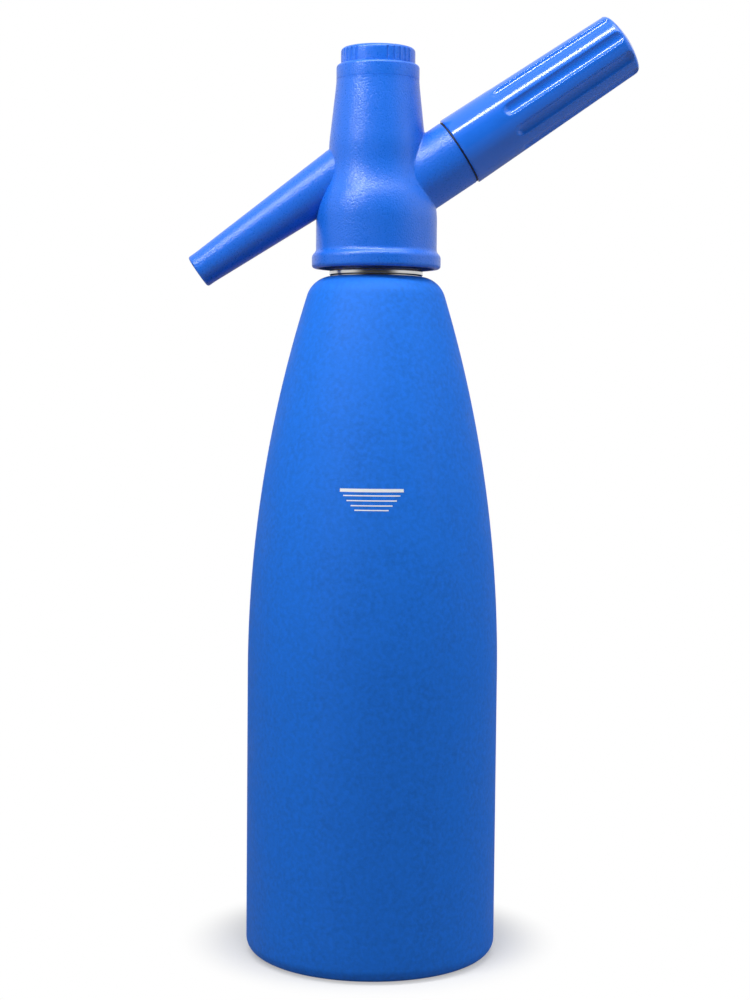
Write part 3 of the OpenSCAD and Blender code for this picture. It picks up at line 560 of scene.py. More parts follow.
class SIPHON_OT_coat(bpy.types.Operator):
    """Builds the rubber coat, a thin skin from the foot ring to the neck"""
    bl_idname = "siphon.coat"
    bl_label = "Rubber coat"

    def execute(self, context):
        end_r, foot_r, chamfer = BEAD_R + COAT_GAP, FOOT_OUT_R + COAT_GAP, 0.15
        outer, inner = bottle_outline(0, end_r), bottle_outline(COAT_T, end_r)
        # The skin's upper edge is slightly rounded over
        lip = Vector(outer[-1]).lerp(Vector(inner[-1]), 0.35) + Vector((-0.08, 0))
        outline = [(foot_r, FOOT_H + COAT_T), (foot_r, FOOT_H + chamfer), (foot_r + chamfer, FOOT_H)]
        outline += outer + [tuple(lip)] + inner[::-1]
        turned_piece("rubber_coat_skin", outline, "blue_rubber", "bottle", "rubber_coat", steps=192)
        return {"FINISHED"}


class SIPHON_OT_bottle(bpy.types.Operator):
    """Builds the metal bottle, with its domed base, neck and neck thread"""
    bl_idname = "siphon.bottle"
    bl_label = "Metal bottle"

    def execute(self, context):
        wall, foot_round, rim_round = COAT_T + BOTTLE_WALL, 0.5, 0.5
        dome_r = (FOOT_IN_R**2 + DOME_H**2) / (2 * DOME_H)
        in_dome_r = dome_r + BOTTLE_WALL
        dome_c = (0, DOME_H - dome_r)
        dome_end = 90 - math.degrees(math.asin((FOOT_IN_R - 0.6) / dome_r))
        in_dome_end = 90 - math.degrees(math.asin((FOOT_IN_R - 1) / in_dome_r))
        under = arc(dome_c, dome_r, 90, dome_end, 24)
        inner_dome = arc(dome_c, in_dome_r, in_dome_end, 90, 24)
        foot = rounded([under[-1], (FOOT_IN_R, 0.0, foot_round), (FOOT_OUT_R, 0.0, foot_round),
                        (FOOT_OUT_R, FOOT_H + COAT_T)], closed=False)
        outer = bottle_outline(COAT_T, BEAD_R + COAT_GAP)
        inner = bottle_outline(wall, SHOULDER_MID_R)
        inner_top = (inner[-1][0] - 0.2, inner[-1][1])
        undercut_r, root_r = BEAD_R - 0.5, NECK_R - 0.85
        neck = rounded([outer[-1], (undercut_r, outer[-1][1]), (undercut_r, SHOULDER_Z + 0.05),
                        (BEAD_R, SHOULDER_Z + 0.55, 0.1), (BEAD_R, BEAD_Z, 0.35), (NECK_R, BEAD_Z, 0.15),
                        (NECK_R, SOCKET_Z + 0.2, 0.2), (root_r, SOCKET_Z + 0.6, 0.2),
                        (root_r, RIM_Z, rim_round), (MOUTH_R, RIM_Z, rim_round),
                        (MOUTH_R, SHOULDER_Z - wall - 1, 1.5)], closed=False)
        outline = under[:-1] + foot + outer[:-1] + neck[:-1] + [(MOUTH_R, SHOULDER_Z - wall), inner_top]
        outline += inner[::-1][1:] + inner_dome
        ridge = (root_r, NECK_R - AIR, SOCKET_Z + NECK_LEAD, RIM_Z - NECK_LEAD, NECK_PITCH)
        turned_piece("metal_bottle", outline, "polished_steel", "bottle", "bottle",
                     steps=160, closed=False, ridge=ridge)
        return {"FINISHED"}


class SIPHON_OT_level_mark(bpy.types.Operator):
    """Builds the five printed lines that mark the level"""
    bl_idname = "siphon.level_mark"
    bl_label = "Level mark"

    def execute(self, context):
        sizes = context.scene.siphon_sizes
        top, wide = sizes.mark_height / MM, sizes.mark_width / MM
        # Each line's drop below the top one, its share of the top one's width, and its thickness
        lines = [(0.0, 1.0, 1.16), (1.83, 0.894, 0.4), (3.57, 0.783, 0.4), (5.31, 0.65, 0.4),
                 (6.89, 0.531, 0.4)]
        film, bite, shift = 0.04, 0.05, -0.8
        shape = bmesh.new()
        for drop, share, thick in lines:
            z = top - drop
            radius = coat_radius(z)
            angle = share * wide / radius
            section = [(coat_radius(z + side * thick / 2) + lift, z + side * thick / 2)
                       for side, lift in ((-1, -bite), (-1, film), (1, film), (1, -bite))]
            turn = -math.pi / 2 + shift / radius - angle / 2
            merge_in(shape, sweep(section, angle, 24), Matrix.Rotation(turn, 4, "Z"))
        # The record has no slot for the print; the coat's slot is passed, and the ink finish is used in its
        # place
        finish_piece(make_object(shape, "level_mark"), "blue_rubber", "bottle", finish="ink")
        return {"FINISHED"}


class SIPHON_OT_measuring_tube(bpy.types.Operator):
    """Builds the measuring tube that hangs in the neck, and the gasket on it"""
    bl_idname = "siphon.measuring_tube"
    bl_label = "Measuring tube and gasket"

    def execute(self, context):
        low, edge, gasket_edge = context.scene.siphon_sizes.mark_height / MM, 0.3, 0.4
        tube = rounded([(TUBE_R, low, edge), (TUBE_R, RIM_Z, 0.1), (TUBE_FLANGE_R, RIM_Z, edge),
                        (TUBE_FLANGE_R, TUBE_TOP_Z, edge), (TUBE_BORE_R, TUBE_TOP_Z, edge),
                        (TUBE_BORE_R, low, edge)], steps=3)
        turned_piece("measuring_tube_with_flange", tube, "clear_plastic", "measuring_tube",
                     "measuring_tube", steps=128)
        gasket = rounded([(TUBE_FLANGE_R, TUBE_TOP_Z, gasket_edge), (TUBE_FLANGE_R, PLATE_Z, gasket_edge),
                          (GASKET_BORE_R, PLATE_Z, gasket_edge), (GASKET_BORE_R, TUBE_TOP_Z, gasket_edge)],
                         steps=4)
        turned_piece("neck_gasket_ring", gasket, "black_rubber", "neck_gasket", "neck_gasket", steps=128)
        return {"FINISHED"}


# Head

def tower_outline():
    """The tower's outer form, from the skirt's lower edge to the seam under the collar."""
    skirt = arc((SKIRT_R - SKIRT_ROUND, SKIRT_Z + SKIRT_ROUND), SKIRT_ROUND, -90, 0, 6)
    rest = s_curve((SKIRT_R, RING_Z), (BELLY_R, BELLY_Z), 6)
    rest += s_curve((BELLY_R, FLARE_Z), (WAIST_R, WAIST_Z), 16)
    rest += [(WAIST_R, CONE_Z), (COLLAR_R, LIP_Z), (COLLAR_R, COLLAR_Z - SEAM)]
    outer = soften(dense(skirt + rest, FACET), BELLY_Z + 1.5, LIP_Z + 0.6, 10)
    return outer + [(COLLAR_R - SEAM, COLLAR_Z)]


def tower_hollow():
    """The space in the tower, from its open skirt up through the place for the collar."""
    ledge_r, waist_in_r = SOCKET_R - 0.8, WAIST_R - 2
    return [(0, SKIRT_Z - 1), (SKIRT_MOUTH_R, SKIRT_Z - 1), (SKIRT_MOUTH_R, SOCKET_Z - 1),
            (SOCKET_R, SOCKET_Z), (SOCKET_R, FLANGE_Z), (ledge_r, FLANGE_Z),
            *s_curve((ledge_r, FLANGE_Z + 1.5), (waist_in_r, WAIST_Z), 10),
            (waist_in_r, CONE_Z), (COLLAR_BORE_R, LIP_Z), (SPIGOT_R + AIR, LIP_Z),
            (SPIGOT_R + AIR, COLLAR_Z + 1), (0, COLLAR_Z + 1)]


def spout_radius(distance):
    """Outer radius of the spout's taper at a distance from the head's axis."""
    taper = (SPOUT_ROOT_R - SPOUT_TIP_R) / (SPOUT_TIP - SPOUT_ROOT_AT)
    return SPOUT_ROOT_R + (SPOUT_ROOT_AT - distance) * taper


def smooth_crease(piece, is_crease, reach, passes):
    """Turns the sharp crease where two forms meet into a small fillet."""
    shape = bmesh.new()
    shape.from_mesh(piece.data)
    bmesh.ops.remove_doubles(shape, verts=shape.verts, dist=0.02 * MM)
    crease = [v for v in shape.verts if is_crease(v.co)]
    tree = KDTree(len(crease))
    for i, vert in enumerate(crease):
        tree.insert(vert.co, i)
    tree.balance()
    near = [v for v in shape.verts if tree.find(v.co)[2] < reach * MM]
    bmesh.ops.triangulate(shape, faces=[f for f in shape.faces if len(f.verts) > 4])
    for _ in range(passes):
        bmesh.ops.smooth_vert(shape, verts=near, factor=0.5,
                              use_axis_x=True, use_axis_y=True, use_axis_z=True)
    shape.to_mesh(piece.data)
    shape.free()


class SIPHON_OT_casing(bpy.types.Operator):
    """Builds the head casing: skirt, belly and tower, with the boss for the charger"""
    bl_idname = "siphon.casing"
    bl_label = "Head casing"

    def execute(self, context):
        outer, to_boss = tower_outline(), on_boss().inverted()
        solid = [(0, SKIRT_Z)] + outer + [(0, COLLAR_Z)]
        casing = make_object(spin_outline(solid, 192, closed=False), "head_casing_moulding")
        root = 8
        boss = rounded([(0, root), (BOSS_R, root), (BOSS_R, BOSS_LEN, 0.5), (0, BOSS_LEN)], closed=False)
        combine(casing, [boss[0]] + dense(boss[1:], FACET), 112, on_boss(), "UNION")
        smooth_crease(casing, lambda point: self.on_crease(point, outer, to_boss), reach=0.9, passes=5)
        combine(casing, tower_hollow(), 128)
        bore_r, bore_end = SHANK_R + AIR, BOSS_LEN + 1
        combine(casing, [(0, 0), (bore_r, 0), (bore_r, bore_end), (0, bore_end)], 96, on_boss())
        near, far = 6, 50
        window = [(0, near), (spout_radius(near) + AIR, near), (spout_radius(far) + AIR, far), (0, far)]
        combine(casing, window, 96, on_spout())
        finish_piece(casing, "blue_plastic", "head", "head_casing", sharp=38)
        return {"FINISHED"}

    @staticmethod
    def on_crease(point, outer, to_boss):
        """Whether a point lies on the boss's side and on the tower's face at once."""
        local = to_boss @ point
        off_boss, off_tower = 0.03, 0.05
        if abs(local.to_2d().length / MM - BOSS_R) > off_boss or local.z < 0:
            return False
        radius = radius_at(outer, point.z / MM)
        return radius is not None and abs(point.to_2d().length / MM - radius) < off_tower


class SIPHON_OT_spout(bpy.types.Operator):
    """Builds the tapered spout and the pouring tube in it"""
    bl_idname = "siphon.spout"
    bl_label = "Spout"

    def execute(self, context):
        bore_r, socket_r, root, socket_end = 3.95, 5.25, 6, 13
        corners = [(socket_r, root), (spout_radius(root), root), (SPOUT_TIP_R, SPOUT_TIP, 12),
                   (SPOUT_TIP_R, SPOUT_LEN, 0.9), (bore_r, SPOUT_LEN, 0.35), (bore_r, socket_end),
                   (socket_r, socket_end)]
        outline = dense(rounded(corners, steps=8), 3, closed=True)
        spout = make_object(spin_outline(outline, 128), "spout_moulding", on_spout())
        room_r, room_low = CORE_TOP_R + 0.35, DECK_Z - 1
        combine(spout, [(0, room_low), (room_r, room_low), (room_r, COLLAR_Z), (0, COLLAR_Z)], 96)
        finish_piece(spout, "blue_plastic", "head", "spout")
        tube_r, tube_bore_r, low, high = 3.9, 2.75, 8, 79.2
        tube = rounded([(tube_r, low), (tube_r, high, 0.3), (tube_bore_r, high, 0.3), (tube_bore_r, low)],
                       steps=3)
        turned_piece("pouring_tube_liner", tube, "polished_steel", "head", "pouring_tube",
                     steps=64, place=on_spout())
        return {"FINISHED"}


class SIPHON_OT_collar_and_button(bpy.types.Operator):
    """Builds the collar on the tower and the grooved push button in it"""
    bl_idname = "siphon.collar_and_button"
    bl_label = "Collar and button"

    def execute(self, context):
        low = LIP_Z + AIR
        collar = rounded([(COLLAR_BORE_R, low), (SPIGOT_R, low), (SPIGOT_R, COLLAR_Z),
                          (COLLAR_R - SEAM, COLLAR_Z), (COLLAR_R, COLLAR_Z + SEAM),
                          (COLLAR_R, COLLAR_TOP_Z, 1.2), (COLLAR_BORE_R, COLLAR_TOP_Z, 0.15)], steps=7)
        turned_piece("button_collar_ring", collar, "blue_plastic", "head", "button_collar", steps=160)
        self.button(context.scene.siphon_sizes)
        return {"FINISHED"}

    def button(self, sizes):
        """The push button, with its grooves pressed into the outline's side."""
        bottom, boss_bottom, stem_top = COLLAR_Z + 0.7, SPRING_Z + 7, CEILING_Z - 1
        stem_r, boss_r, bore_r, crown_r, edge_round = 1.55, 3.2, BUTTON_R - 1.4, 6, 1.4
        top = BUTTON_Z - edge_round
        corners = [(0, stem_top), (stem_r, stem_top), (stem_r, boss_bottom), (boss_r, boss_bottom, 0.2),
                   (boss_r, CEILING_Z, 0.3), (bore_r, CEILING_Z, 0.5), (bore_r, bottom), (BUTTON_R, bottom)]
        side = dense([(BUTTON_R, bottom), (BUTTON_R, top)], 1)
        edge = arc((BUTTON_R - edge_round, top), edge_round, 0, 90, 8)
        outline = rounded(corners, closed=False, steps=4)[:-1] + side[:-1] + edge
        shape = spin_outline(outline + [(crown_r, BUTTON_Z), (0, BUTTON_Z)], 720, closed=False)
        quarter = math.pi / 2
        half_zone = sizes.groove_pitch * (sizes.grooves - 1) / 2
        groove_r, run_out, corner = 0.5, 0.8, 0.08
        groove, middle = groove_r * MM, (BUTTON_R + groove_r / 3) * MM
        for vert in shape.verts:
            radius = vert.co.to_2d().length
            if radius < (BUTTON_R - 1.0) * MM:
                continue
            turn = (math.atan2(vert.co.y, vert.co.x) - sizes.panel_turn - quarter / 2) % quarter
            turn = (turn + quarter / 2) % quarter - quarter / 2
            nearest = round((turn + half_zone) / sizes.groove_pitch)
            nearest = min(max(nearest, 0), sizes.grooves - 1)
            off = abs(turn + half_zone - nearest * sizes.groove_pitch) * radius
            rise = max(0.0, vert.co.z - top * MM)
            inside = groove**2 - off**2 - (rise * run_out) ** 2
            if inside > 0:
                set_radius(vert, radius, soft_least(radius, middle - math.sqrt(inside), corner * MM))
        finish_piece(make_object(shape, "grooved_push_button"), "blue_plastic", "button", "push_button",
                     sharp=40)


def soft_least(a, b, width):
    """The smaller of two lengths, with the corner between them rounded over width."""
    blend = max(width - abs(a - b), 0.0) / width
    return min(a, b) - blend * blend * width / 4


# Charger and holder

class SIPHON_OT_charger_nipple(bpy.types.Operator):
    """Builds the threaded nipple, with its needle and seal"""
    bl_idname = "siphon.charger_nipple"
    bl_label = "Charger nipple"

    def execute(self, context):
        way_r, tail_r, seat_r, pin_r = 0.8, 4.1, 4.65, 3.05
        tail_s, shank_s, pin_s, end = 11, 16, 34.95, 47.0
        outline = rounded([(way_r, tail_s), (tail_r, tail_s), (tail_r, shank_s), (SHANK_R, shank_s),
                           (SHANK_R, BOSS_LEN), (NIPPLE_R, BOSS_LEN, 0.1), (NIPPLE_R, end, 0.7),
                           (seat_r, end, 0.5), (seat_r, PIN_SEAT_S), (pin_r, PIN_SEAT_S), (pin_r, pin_s),
                           (way_r, pin_s)], steps=4)
        ridge = (NIPPLE_R, NIPPLE_R + 0.7, BOSS_LEN + NIPPLE_LEAD, end - 1.0, NIPPLE_PITCH)
        turned_piece("threaded_nipple", outline, "brass", "head", "charger_nipple",
                     steps=128, place=on_boss(), ridge=ridge)
        hole_r, needle_r, flange_r, tip = 0.35, 0.95, 3, NOSE_S + 1.3
        needle = rounded([(hole_r, 35), (flange_r, 35, 0.2), (flange_r, PIN_SEAT_S, 0.2),
                          (needle_r, PIN_SEAT_S), (needle_r, tip - 1.2), (0.45, tip), (hole_r, tip)], steps=3)
        turned_piece("hollow_needle", needle, "plain_steel", "head", "piercing_pin",
                     steps=48, place=on_boss())
        seal_r, seal_bore_r = 4.6, 1.05
        seal = rounded([(seal_bore_r, PIN_SEAT_S), (seal_r, PIN_SEAT_S, 0.3), (seal_r, NOSE_S, 0.5),
                        (seal_bore_r, NOSE_S, 0.3)], steps=4)
        turned_piece("needle_seal", seal, "black_rubber", "head", "pin_seal", steps=64, place=on_boss())
        return {"FINISHED"}


class SIPHON_OT_gas_charger(bpy.types.Operator):
    """Builds the gas charger, a drawn steel flask with a pierced cap"""
    bl_idname = "siphon.gas_charger"
    bl_label = "Gas charger"

    def execute(self, context):
        neck_r, wall, pierced_r = 4.3, 1.2, 1.3
        throat_r, start = neck_r - 0.15, NOSE_S + 8.3

        def flank(inset):
            """The curve from the flask's neck to its side, moved inwards by inset."""
            low, high = start + inset / 2, start + 10 + inset / 2
            turned = s_curve((CHARGER_R - inset, -high), (neck_r - inset, -low), 8)
            return [(r, -z) for r, z in turned[::-1]]

        outer = rounded([(pierced_r, NOSE_S), (neck_r - 0.5, NOSE_S, 0.15), (neck_r, NOSE_S + 0.5, 0.3),
                         (neck_r, NOSE_S + 2.2, 0.15), (throat_r, NOSE_S + 2.4, 0.1),
                         (throat_r, start - 0.5)], closed=False, steps=3)
        outer += flank(0)[1:] + arc((0, CHARGER_BALL_S), CHARGER_R, 0, 90, 18)
        inner = arc((0, CHARGER_BALL_S), CHARGER_R - wall, 90, 0, 12) + flank(wall)[::-1]
        inner += [(neck_r - wall, NOSE_S + wall), (pierced_r, NOSE_S + wall)]
        turned_piece("gas_charger_flask", outer + inner, "plated_steel", "charger", "gas_charger",
                     steps=96, place=on_boss())
        return {"FINISHED"}


class SIPHON_OT_charger_holder(bpy.types.Operator):
    """Builds the fluted charger holder, its brass bush and the washer in the seam"""
    bl_idname = "siphon.charger_holder"
    bl_label = "Charger holder"

    def execute(self, context):
        self.holder(context.scene.siphon_sizes)
        low, high = HOLDER_S + 0.5, HOLDER_S + BUSH_END
        outline = rounded([(BUSH_R, low), (BUSH_R, high), (BUSH_BORE_R, high, 0.3), (BUSH_BORE_R, low, 0.5)])
        start = low + NUT_LEAD
        ridge = (BUSH_BORE_R, 9.4, start, high - NUT_LEAD, NIPPLE_PITCH,
                 between_ridges(start, BOSS_LEN + NIPPLE_LEAD, NIPPLE_PITCH))
        turned_piece("threaded_bush", outline, "brass", "holder", "holder_bush",
                     steps=128, place=on_boss(), ridge=ridge)
        washer_r = BOSS_R - 0.1
        washer = rounded([(BUSH_BORE_R, BOSS_LEN), (washer_r, BOSS_LEN, 0.15), (washer_r, HOLDER_S, 0.15),
                          (BUSH_BORE_R, HOLDER_S)])
        turned_piece("seam_washer_ring", washer, "black_rubber", "seam_washer", "seam_washer",
                     steps=128, place=on_boss())
        return {"FINISHED"}

    def holder(self, sizes):
        """The holder, with its round-ended flutes pressed into the outline's side."""
        dome_r, round_r, edge = 30.4, 2.0, 0.5
        dome_a = math.degrees(math.asin((HOLDER_END_R - round_r) / (dome_r - round_r)))
        side_s = HOLDER_END_S - dome_r + (dome_r - round_r) * math.cos(math.radians(dome_a))
        taper = (HOLDER_R - HOLDER_END_R) / (side_s - HOLDER_S)
        outer = arc((HOLDER_R - edge, HOLDER_S + edge), edge, -90, 0, 5)
        outer += arc((HOLDER_END_R - round_r, side_s), round_r, 0, 90 - dome_a, 8)
        outer = dense(outer, 0.6)
        outer += dense(arc((0, HOLDER_END_S - dome_r), dome_r, 90 - dome_a, 90, 10), 1.2)[1:]
        bore_r = CHARGER_R + 0.35
        inner = arc((0, CHARGER_BALL_S), bore_r, 90, 0, 14)
        inner += [(bore_r, HOLDER_S + BUSH_END), (BUSH_R, HOLDER_S + BUSH_END), (BUSH_R, HOLDER_S + 0.3),
                  (BUSH_R + 0.3, HOLDER_S)]
        shape = spin_outline(outer + inner, 432)
        flute_r, corner, axis_r = 3.5 * MM, 0.25 * MM, 3 * MM
        start, stop = (HOLDER_S + 19.2) * MM + flute_r, (HOLDER_END_S - 5) * MM
        pitch = FULL_TURN / sizes.flutes
        for vert in shape.verts:
            radius = vert.co.to_2d().length
            middle_z = min(max(vert.co.z, start), stop)
            along = vert.co.z - middle_z
            if radius < axis_r or abs(along) >= flute_r:
                continue
            middle = (HOLDER_R - taper * (middle_z / MM - HOLDER_S)) * MM - sizes.flute_depth + flute_r
            turn = (math.atan2(vert.co.y, vert.co.x) - sizes.flute_turn + pitch / 2) % pitch - pitch / 2
            inside = flute_r**2 - along**2 - (middle * math.sin(turn)) ** 2
            if inside > 0:
                floor = middle * math.cos(turn) - math.sqrt(inside)
                set_radius(vert, radius, soft_least(radius, floor, corner))
        finish_piece(make_object(shape, "fluted_holder", on_boss()), "blue_gloss_plastic", "holder",
                     "charger_holder", sharp=40)


# Inside the head

class SIPHON_OT_thread_socket(bpy.types.Operator):
    """Builds the brass socket with the thread for the bottle's neck"""
    bl_idname = "siphon.thread_socket"
    bl_label = "Thread socket"

    def execute(self, context):
        outline = rounded([(SOCKET_R, SOCKET_Z, 0.3), (SOCKET_R, FLANGE_Z, 0.3), (SOCKET_HOLE_R, FLANGE_Z),
                           (SOCKET_HOLE_R, PLATE_Z, 0.2), (SOCKET_BORE_R, PLATE_Z, 0.3),
                           (SOCKET_BORE_R, SOCKET_Z, 0.5)])
        start = SOCKET_Z + NUT_LEAD
        ridge = (SOCKET_BORE_R, 16.3, start, RIM_Z - 0.8, NECK_PITCH,
                 between_ridges(start, SOCKET_Z + NECK_LEAD, NECK_PITCH))
        turned_piece("threaded_socket", outline, "brass", "head", "thread_socket", steps=160, ridge=ridge)
        return {"FINISHED"}


class SIPHON_OT_riser(bpy.types.Operator):
    """Builds the riser tube, from just above the base up into the head"""
    bl_idname = "siphon.riser"
    bl_label = "Riser tube"

    def execute(self, context):
        tube_r, bore_r, low, high = 3.2, 2.3, DOME_H + BOTTLE_WALL + 5, PLATE_Z + 4
        tube = rounded([(tube_r, low, 0.25), (tube_r, high), (bore_r, high), (bore_r, low, 0.25)], steps=3)
        turned_piece("riser_tube_steel", tube, "polished_steel", "head", "riser_tube", steps=64)
        return {"FINISHED"}


class SIPHON_OT_springs(bpy.types.Operator):
    """Builds the four springs as smooth round wire"""
    bl_idname = "siphon.springs"
    bl_label = "Springs"

    def execute(self, context):
        relief_turn, relief_off = math.radians(110), 10.6
        relief = (relief_off * math.cos(relief_turn), relief_off * math.sin(relief_turn))
        # Node, place, radius, wire radius, lowest and highest point, curls, joint, fixed end, share kept
        springs = [
            ("button_spring", (0, 0), 4.9, 0.45, SPRING_Z, CEILING_Z, 7, "button_press", SPRING_Z, 0.80),
            ("valve_spring", (0, 0), 3.5, 0.3, 277.0, 285.7, 5, "button_press", 277.0, 0.53),
            ("check_spring", (7.4, 0), 1.0, 0.22, 272.6, 276.22, 4, "check_open", 272.6, 0.77),
            ("relief_spring", relief, 1.35, 0.25, 279.5, 284.0, 3, "relief_open", 284.0, 0.76),
        ]
        for node, place, radius, wire, low, high, curls, joint, anchor, keep in springs:
            start, rise = low + wire, high - low - 2 * wire
            section = [(radius + wire * math.cos(a), start + wire * math.sin(a))
                       for a in (FULL_TURN * i / 10 for i in range(10))]
            shape = sweep(section, curls * FULL_TURN, curls * 24, rise)
            move = Matrix.Translation((place[0] * MM, place[1] * MM, 0))
            piece = make_object(shape, node + "_wire", move)
            finish_piece(piece, "plain_steel", "head", node, sharp=50)
            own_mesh(piece)
        return {"FINISHED"}


class SIPHON_OT_inner_pieces(bpy.types.Operator):
    """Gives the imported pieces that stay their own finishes"""
    bl_idname = "siphon.inner_pieces"
    bl_label = "Inner pieces"

    def execute(self, context):
        slots = {entry["node"]: entry["material_slot"] for entry in frame["record"]["subparts"]}
        for name, node in frame["nodes"].items():
            node.data.materials.clear()
            node.data.materials.append(finish_of(slots[name]))
        return {"FINISHED"}


# Studio

class SIPHON_OT_stage(bpy.types.Operator):
    """Builds the floor, the soft light, the white surround and the camera"""
    bl_idname = "siphon.stage"
    bl_label = "Studio"

    def execute(self, context):
        self.floor(context.scene)
        self.surround(context.scene)
        self.lamps(context.scene)
        self.camera(context.scene)
        context.scene.view_settings.view_transform = "Standard"
        return {"FINISHED"}

    def floor(self, scene):
        """The sheet of paper the siphon stands on."""
        shape = bmesh.new()
        bmesh.ops.create_grid(shape, x_segments=4, y_segments=4, size=6.0)
        floor = make_object(shape, "studio_floor")
        made = make_finish(
            "white_paper_sweep", {"Roughness": 0.9, "Specular IOR Level": 0.0}, {"fibres": (0.8, 3)},
            [hex_colour("#e7e8e8"), ("fibres", hex_colour("#ececec"), 1.0, USUAL)])
        tree = made.node_tree
        shader = tree.nodes["Principled BSDF"]
        glow = add(tree, "Emission", {"Color": WHITE, "Strength": 1.0})
        # Painted shade: the glow is least in a pool round a point a little behind the base, so the paper
        # greys there on top of the real shadow it holds; beyond the pool the paper is white to the eye
        place = tree.nodes["Texture Coordinate"].outputs["Object"]
        painted_shade_middle, painted_shade_r, white_r, least_glow = (0.0, 0.012, 0.0), 0.044, 0.074, 0.30
        reach = add(tree, "VectorMath", {0: place, 1: painted_shade_middle}, operation="DISTANCE")
        away = add(tree, "MapRange", {
            "Value": reach.outputs["Value"], "From Min": painted_shade_r, "From Max": white_r,
            "To Min": least_glow, "To Max": 1.0}, interpolation_type="SMOOTHSTEP")
        rays = add(tree, "LightPath").outputs
        # The pieces' gloss shows only a part of the paper
        gloss = add(tree, "Math", {0: rays["Is Glossy Ray"], 1: 0.25}, operation="MULTIPLY")
        seen = add(tree, "Math", {
            0: rays["Is Camera Ray"], 1: rays["Is Transmission Ray"]}, operation="MAXIMUM")
        seen = add(tree, "Math", {0: seen.outputs[0], 1: gloss.outputs[0]}, operation="MAXIMUM")
        share = add(tree, "Math", {
            0: seen.outputs[0], 1: away.outputs["Result"]}, operation="MULTIPLY")
        # It throws back less light than it shows, as the base of the bottle is darkest
        dim = add(tree, "BsdfDiffuse", {"Color": hex_colour("#909090")})
        sheet = add(tree, "MixShader", {
            0: seen.outputs[0], 1: dim.outputs[0], 2: shader.outputs[0]})
        mix = add(tree, "MixShader", {
            0: share.outputs[0], 1: sheet.outputs[0], 2: glow.outputs[0]})
        tree.links.new(mix.outputs[0], tree.nodes["Material Output"].inputs["Surface"])
        floor.data.materials.append(made)

    def surround(self, scene):
        """The white background, the room that metal mirrors, and the faint light from all round."""
        world = bpy.data.worlds.new("studio_surround")
        world.use_nodes = True
        tree = world.node_tree
        tree.nodes.clear()
        rays = add(tree, "LightPath").outputs
        seen = add(tree, "Math", {
            0: rays["Is Camera Ray"], 1: rays["Is Transmission Ray"]}, operation="MAXIMUM")
        ambient = add(tree, "Background", {"Color": hex_colour("#f7faff"), "Strength": 0.06})
        white = add(tree, "Background", {"Color": WHITE, "Strength": 1.0})
        # Metal mirrors a white room with a dark gap in front, where the camera stands
        way = add(tree, "TexCoord").outputs["Generated"]
        split = add(tree, "SeparateXYZ", {"Vector": way})
        gap_y, room_y, dark, bright = -0.86, -0.52, 0.03, 0.95
        front = add(tree, "MapRange", {
            "Value": split.outputs["Y"], "From Min": gap_y, "From Max": room_y,
            "To Min": dark, "To Max": bright})
        mirrored = add(tree, "Background", {"Color": WHITE, "Strength": front.outputs["Result"]})
        plain = add(tree, "MixShader", {
            0: rays["Is Glossy Ray"], 1: ambient.outputs[0], 2: mirrored.outputs[0]})
        both = add(tree, "MixShader", {
            0: seen.outputs[0], 1: plain.outputs[0], 2: white.outputs[0]})
        output = add(tree, "OutputWorld")
        tree.links.new(both.outputs[0], output.inputs["Surface"])
        scene.world = world

    def lamps(self, scene):
        """The softboxes, all aimed at the siphon."""
        target = Vector((0.0, 0.0, 0.24))
        # Name, place in metres, width and height, turn of the long side in degrees, power in watts
        plans = [
            ("top_softbox", (0.16, -0.18, 0.78), (0.5, 0.3), 0, 1.7),
            ("top_strip", (-0.18, -0.232, 0.613), (0.50, 0.06), -33.8, 2.4),
            ("left_softbox", (-0.45, -0.40, 0.40), (0.3, 0.3), 0, 0.3),
            ("right_softbox", (0.62, -0.05, 0.45), (0.3, 0.3), 0, 1.3),
            ("front_fill", (-0.10, -0.80, 0.30), (0.3, 0.3), 0, 0.7),
            ("left_low_fill", (-0.7, -0.2, 0.1), (0.3, 0.3), 0, 0.8),
            ("right_low_fill", (0.7, -0.1, 0.1), (0.3, 0.3), 0, 0.9),
        ]
        for name, place, size, turn, power in plans:
            light = bpy.data.lights.new(name, "AREA")
            light.shape = "RECTANGLE"
            light.size, light.size_y = size
            light.energy = power
            lamp = bpy.data.objects.new(name, light)
            lamp.location = place
            aim = target - Vector(place)
            if turn:
                # The long side lies along the charger holder, so that it mirrors as one line
                side = Vector((math.cos(math.radians(turn)), 0, -math.sin(math.radians(turn))))
                back = -aim.normalized()
                side = (side - back * side.dot(back)).normalized()
                lamp.rotation_euler = Matrix((side, back.cross(side), back)).transposed().to_euler()
            else:
                lamp.rotation_euler = aim.to_track_quat("-Z", "Y").to_euler()
            lamp.visible_camera = False
            # Only the lamps above draw highlights
            lamp.visible_glossy = name.startswith("top")
            scene.collection.objects.link(lamp)

    def camera(self, scene):
        """The camera that took the photo."""
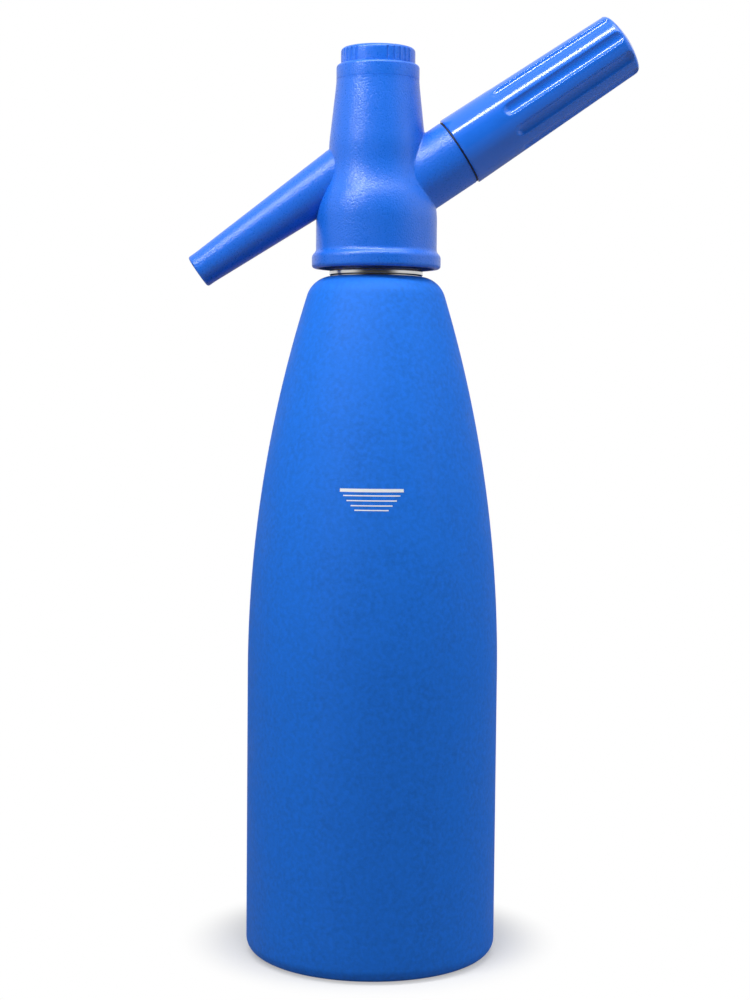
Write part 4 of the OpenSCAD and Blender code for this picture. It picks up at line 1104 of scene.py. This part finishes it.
        # Fitted to the photo: its focal length and height in pixels, and where it was taken from
        focal, photo_height, sensor = 1880, 1000, 24.0
        place, tilt, roll = (0.000379, -0.696, 0.21304), math.radians(3.645), math.radians(0.546)
        lens = bpy.data.cameras.new("photo_camera")
        lens.sensor_fit = "VERTICAL"
        lens.sensor_height = sensor
        lens.lens = focal / photo_height * sensor
        lens.clip_start = 0.01
        camera = bpy.data.objects.new("photo_camera", lens)
        turn = Matrix.Rotation(math.pi / 2 - tilt, 4, "X") @ Matrix.Rotation(roll, 4, "Z")
        camera.matrix_world = Matrix.Translation(place) @ turn
        scene.collection.objects.link(camera)
        scene.camera = camera


PIECES = (
    SIPHON_OT_coat, SIPHON_OT_bottle, SIPHON_OT_level_mark, SIPHON_OT_measuring_tube, SIPHON_OT_casing,
    SIPHON_OT_spout, SIPHON_OT_collar_and_button, SIPHON_OT_charger_nipple, SIPHON_OT_gas_charger,
    SIPHON_OT_charger_holder, SIPHON_OT_thread_socket, SIPHON_OT_riser, SIPHON_OT_springs,
    SIPHON_OT_inner_pieces, SIPHON_OT_stage,
)


class SIPHON_PT_panel(bpy.types.Panel):
    """Sizes, colours and the steps that build the siphon"""
    bl_label = "Soda Siphon"
    bl_idname = "SIPHON_PT_panel"
    bl_space_type = "VIEW_3D"
    bl_region_type = "UI"
    bl_category = "Siphon"

    def draw(self, context):
        for group in (context.scene.siphon_sizes, context.scene.siphon_colours):
            for name in group.__annotations__:
                self.layout.prop(group, name)
        for piece in PIECES:
            self.layout.operator(piece.bl_idname)


CLASSES = (SiphonSizes, SiphonColours, *PIECES, SIPHON_PT_panel)


def register():
    for cls in CLASSES:
        bpy.utils.register_class(cls)
    bpy.types.Scene.siphon_sizes = PointerProperty(type=SiphonSizes)
    bpy.types.Scene.siphon_colours = PointerProperty(type=SiphonColours)


def unregister():
    del bpy.types.Scene.siphon_colours
    del bpy.types.Scene.siphon_sizes
    for cls in reversed(CLASSES):
        bpy.utils.unregister_class(cls)


def main():
    register()
    bpy.ops.siphon.stage()
    bpy.ops.siphon.inner_pieces()
    bpy.ops.siphon.coat()
    bpy.ops.siphon.bottle()
    bpy.ops.siphon.level_mark()
    bpy.ops.siphon.measuring_tube()
    bpy.ops.siphon.casing()
    bpy.ops.siphon.spout()
    bpy.ops.siphon.collar_and_button()
    bpy.ops.siphon.charger_nipple()
    bpy.ops.siphon.gas_charger()
    bpy.ops.siphon.charger_holder()
    bpy.ops.siphon.thread_socket()
    bpy.ops.siphon.riser()
    bpy.ops.siphon.springs()


if __name__ == "__main__":
    main()
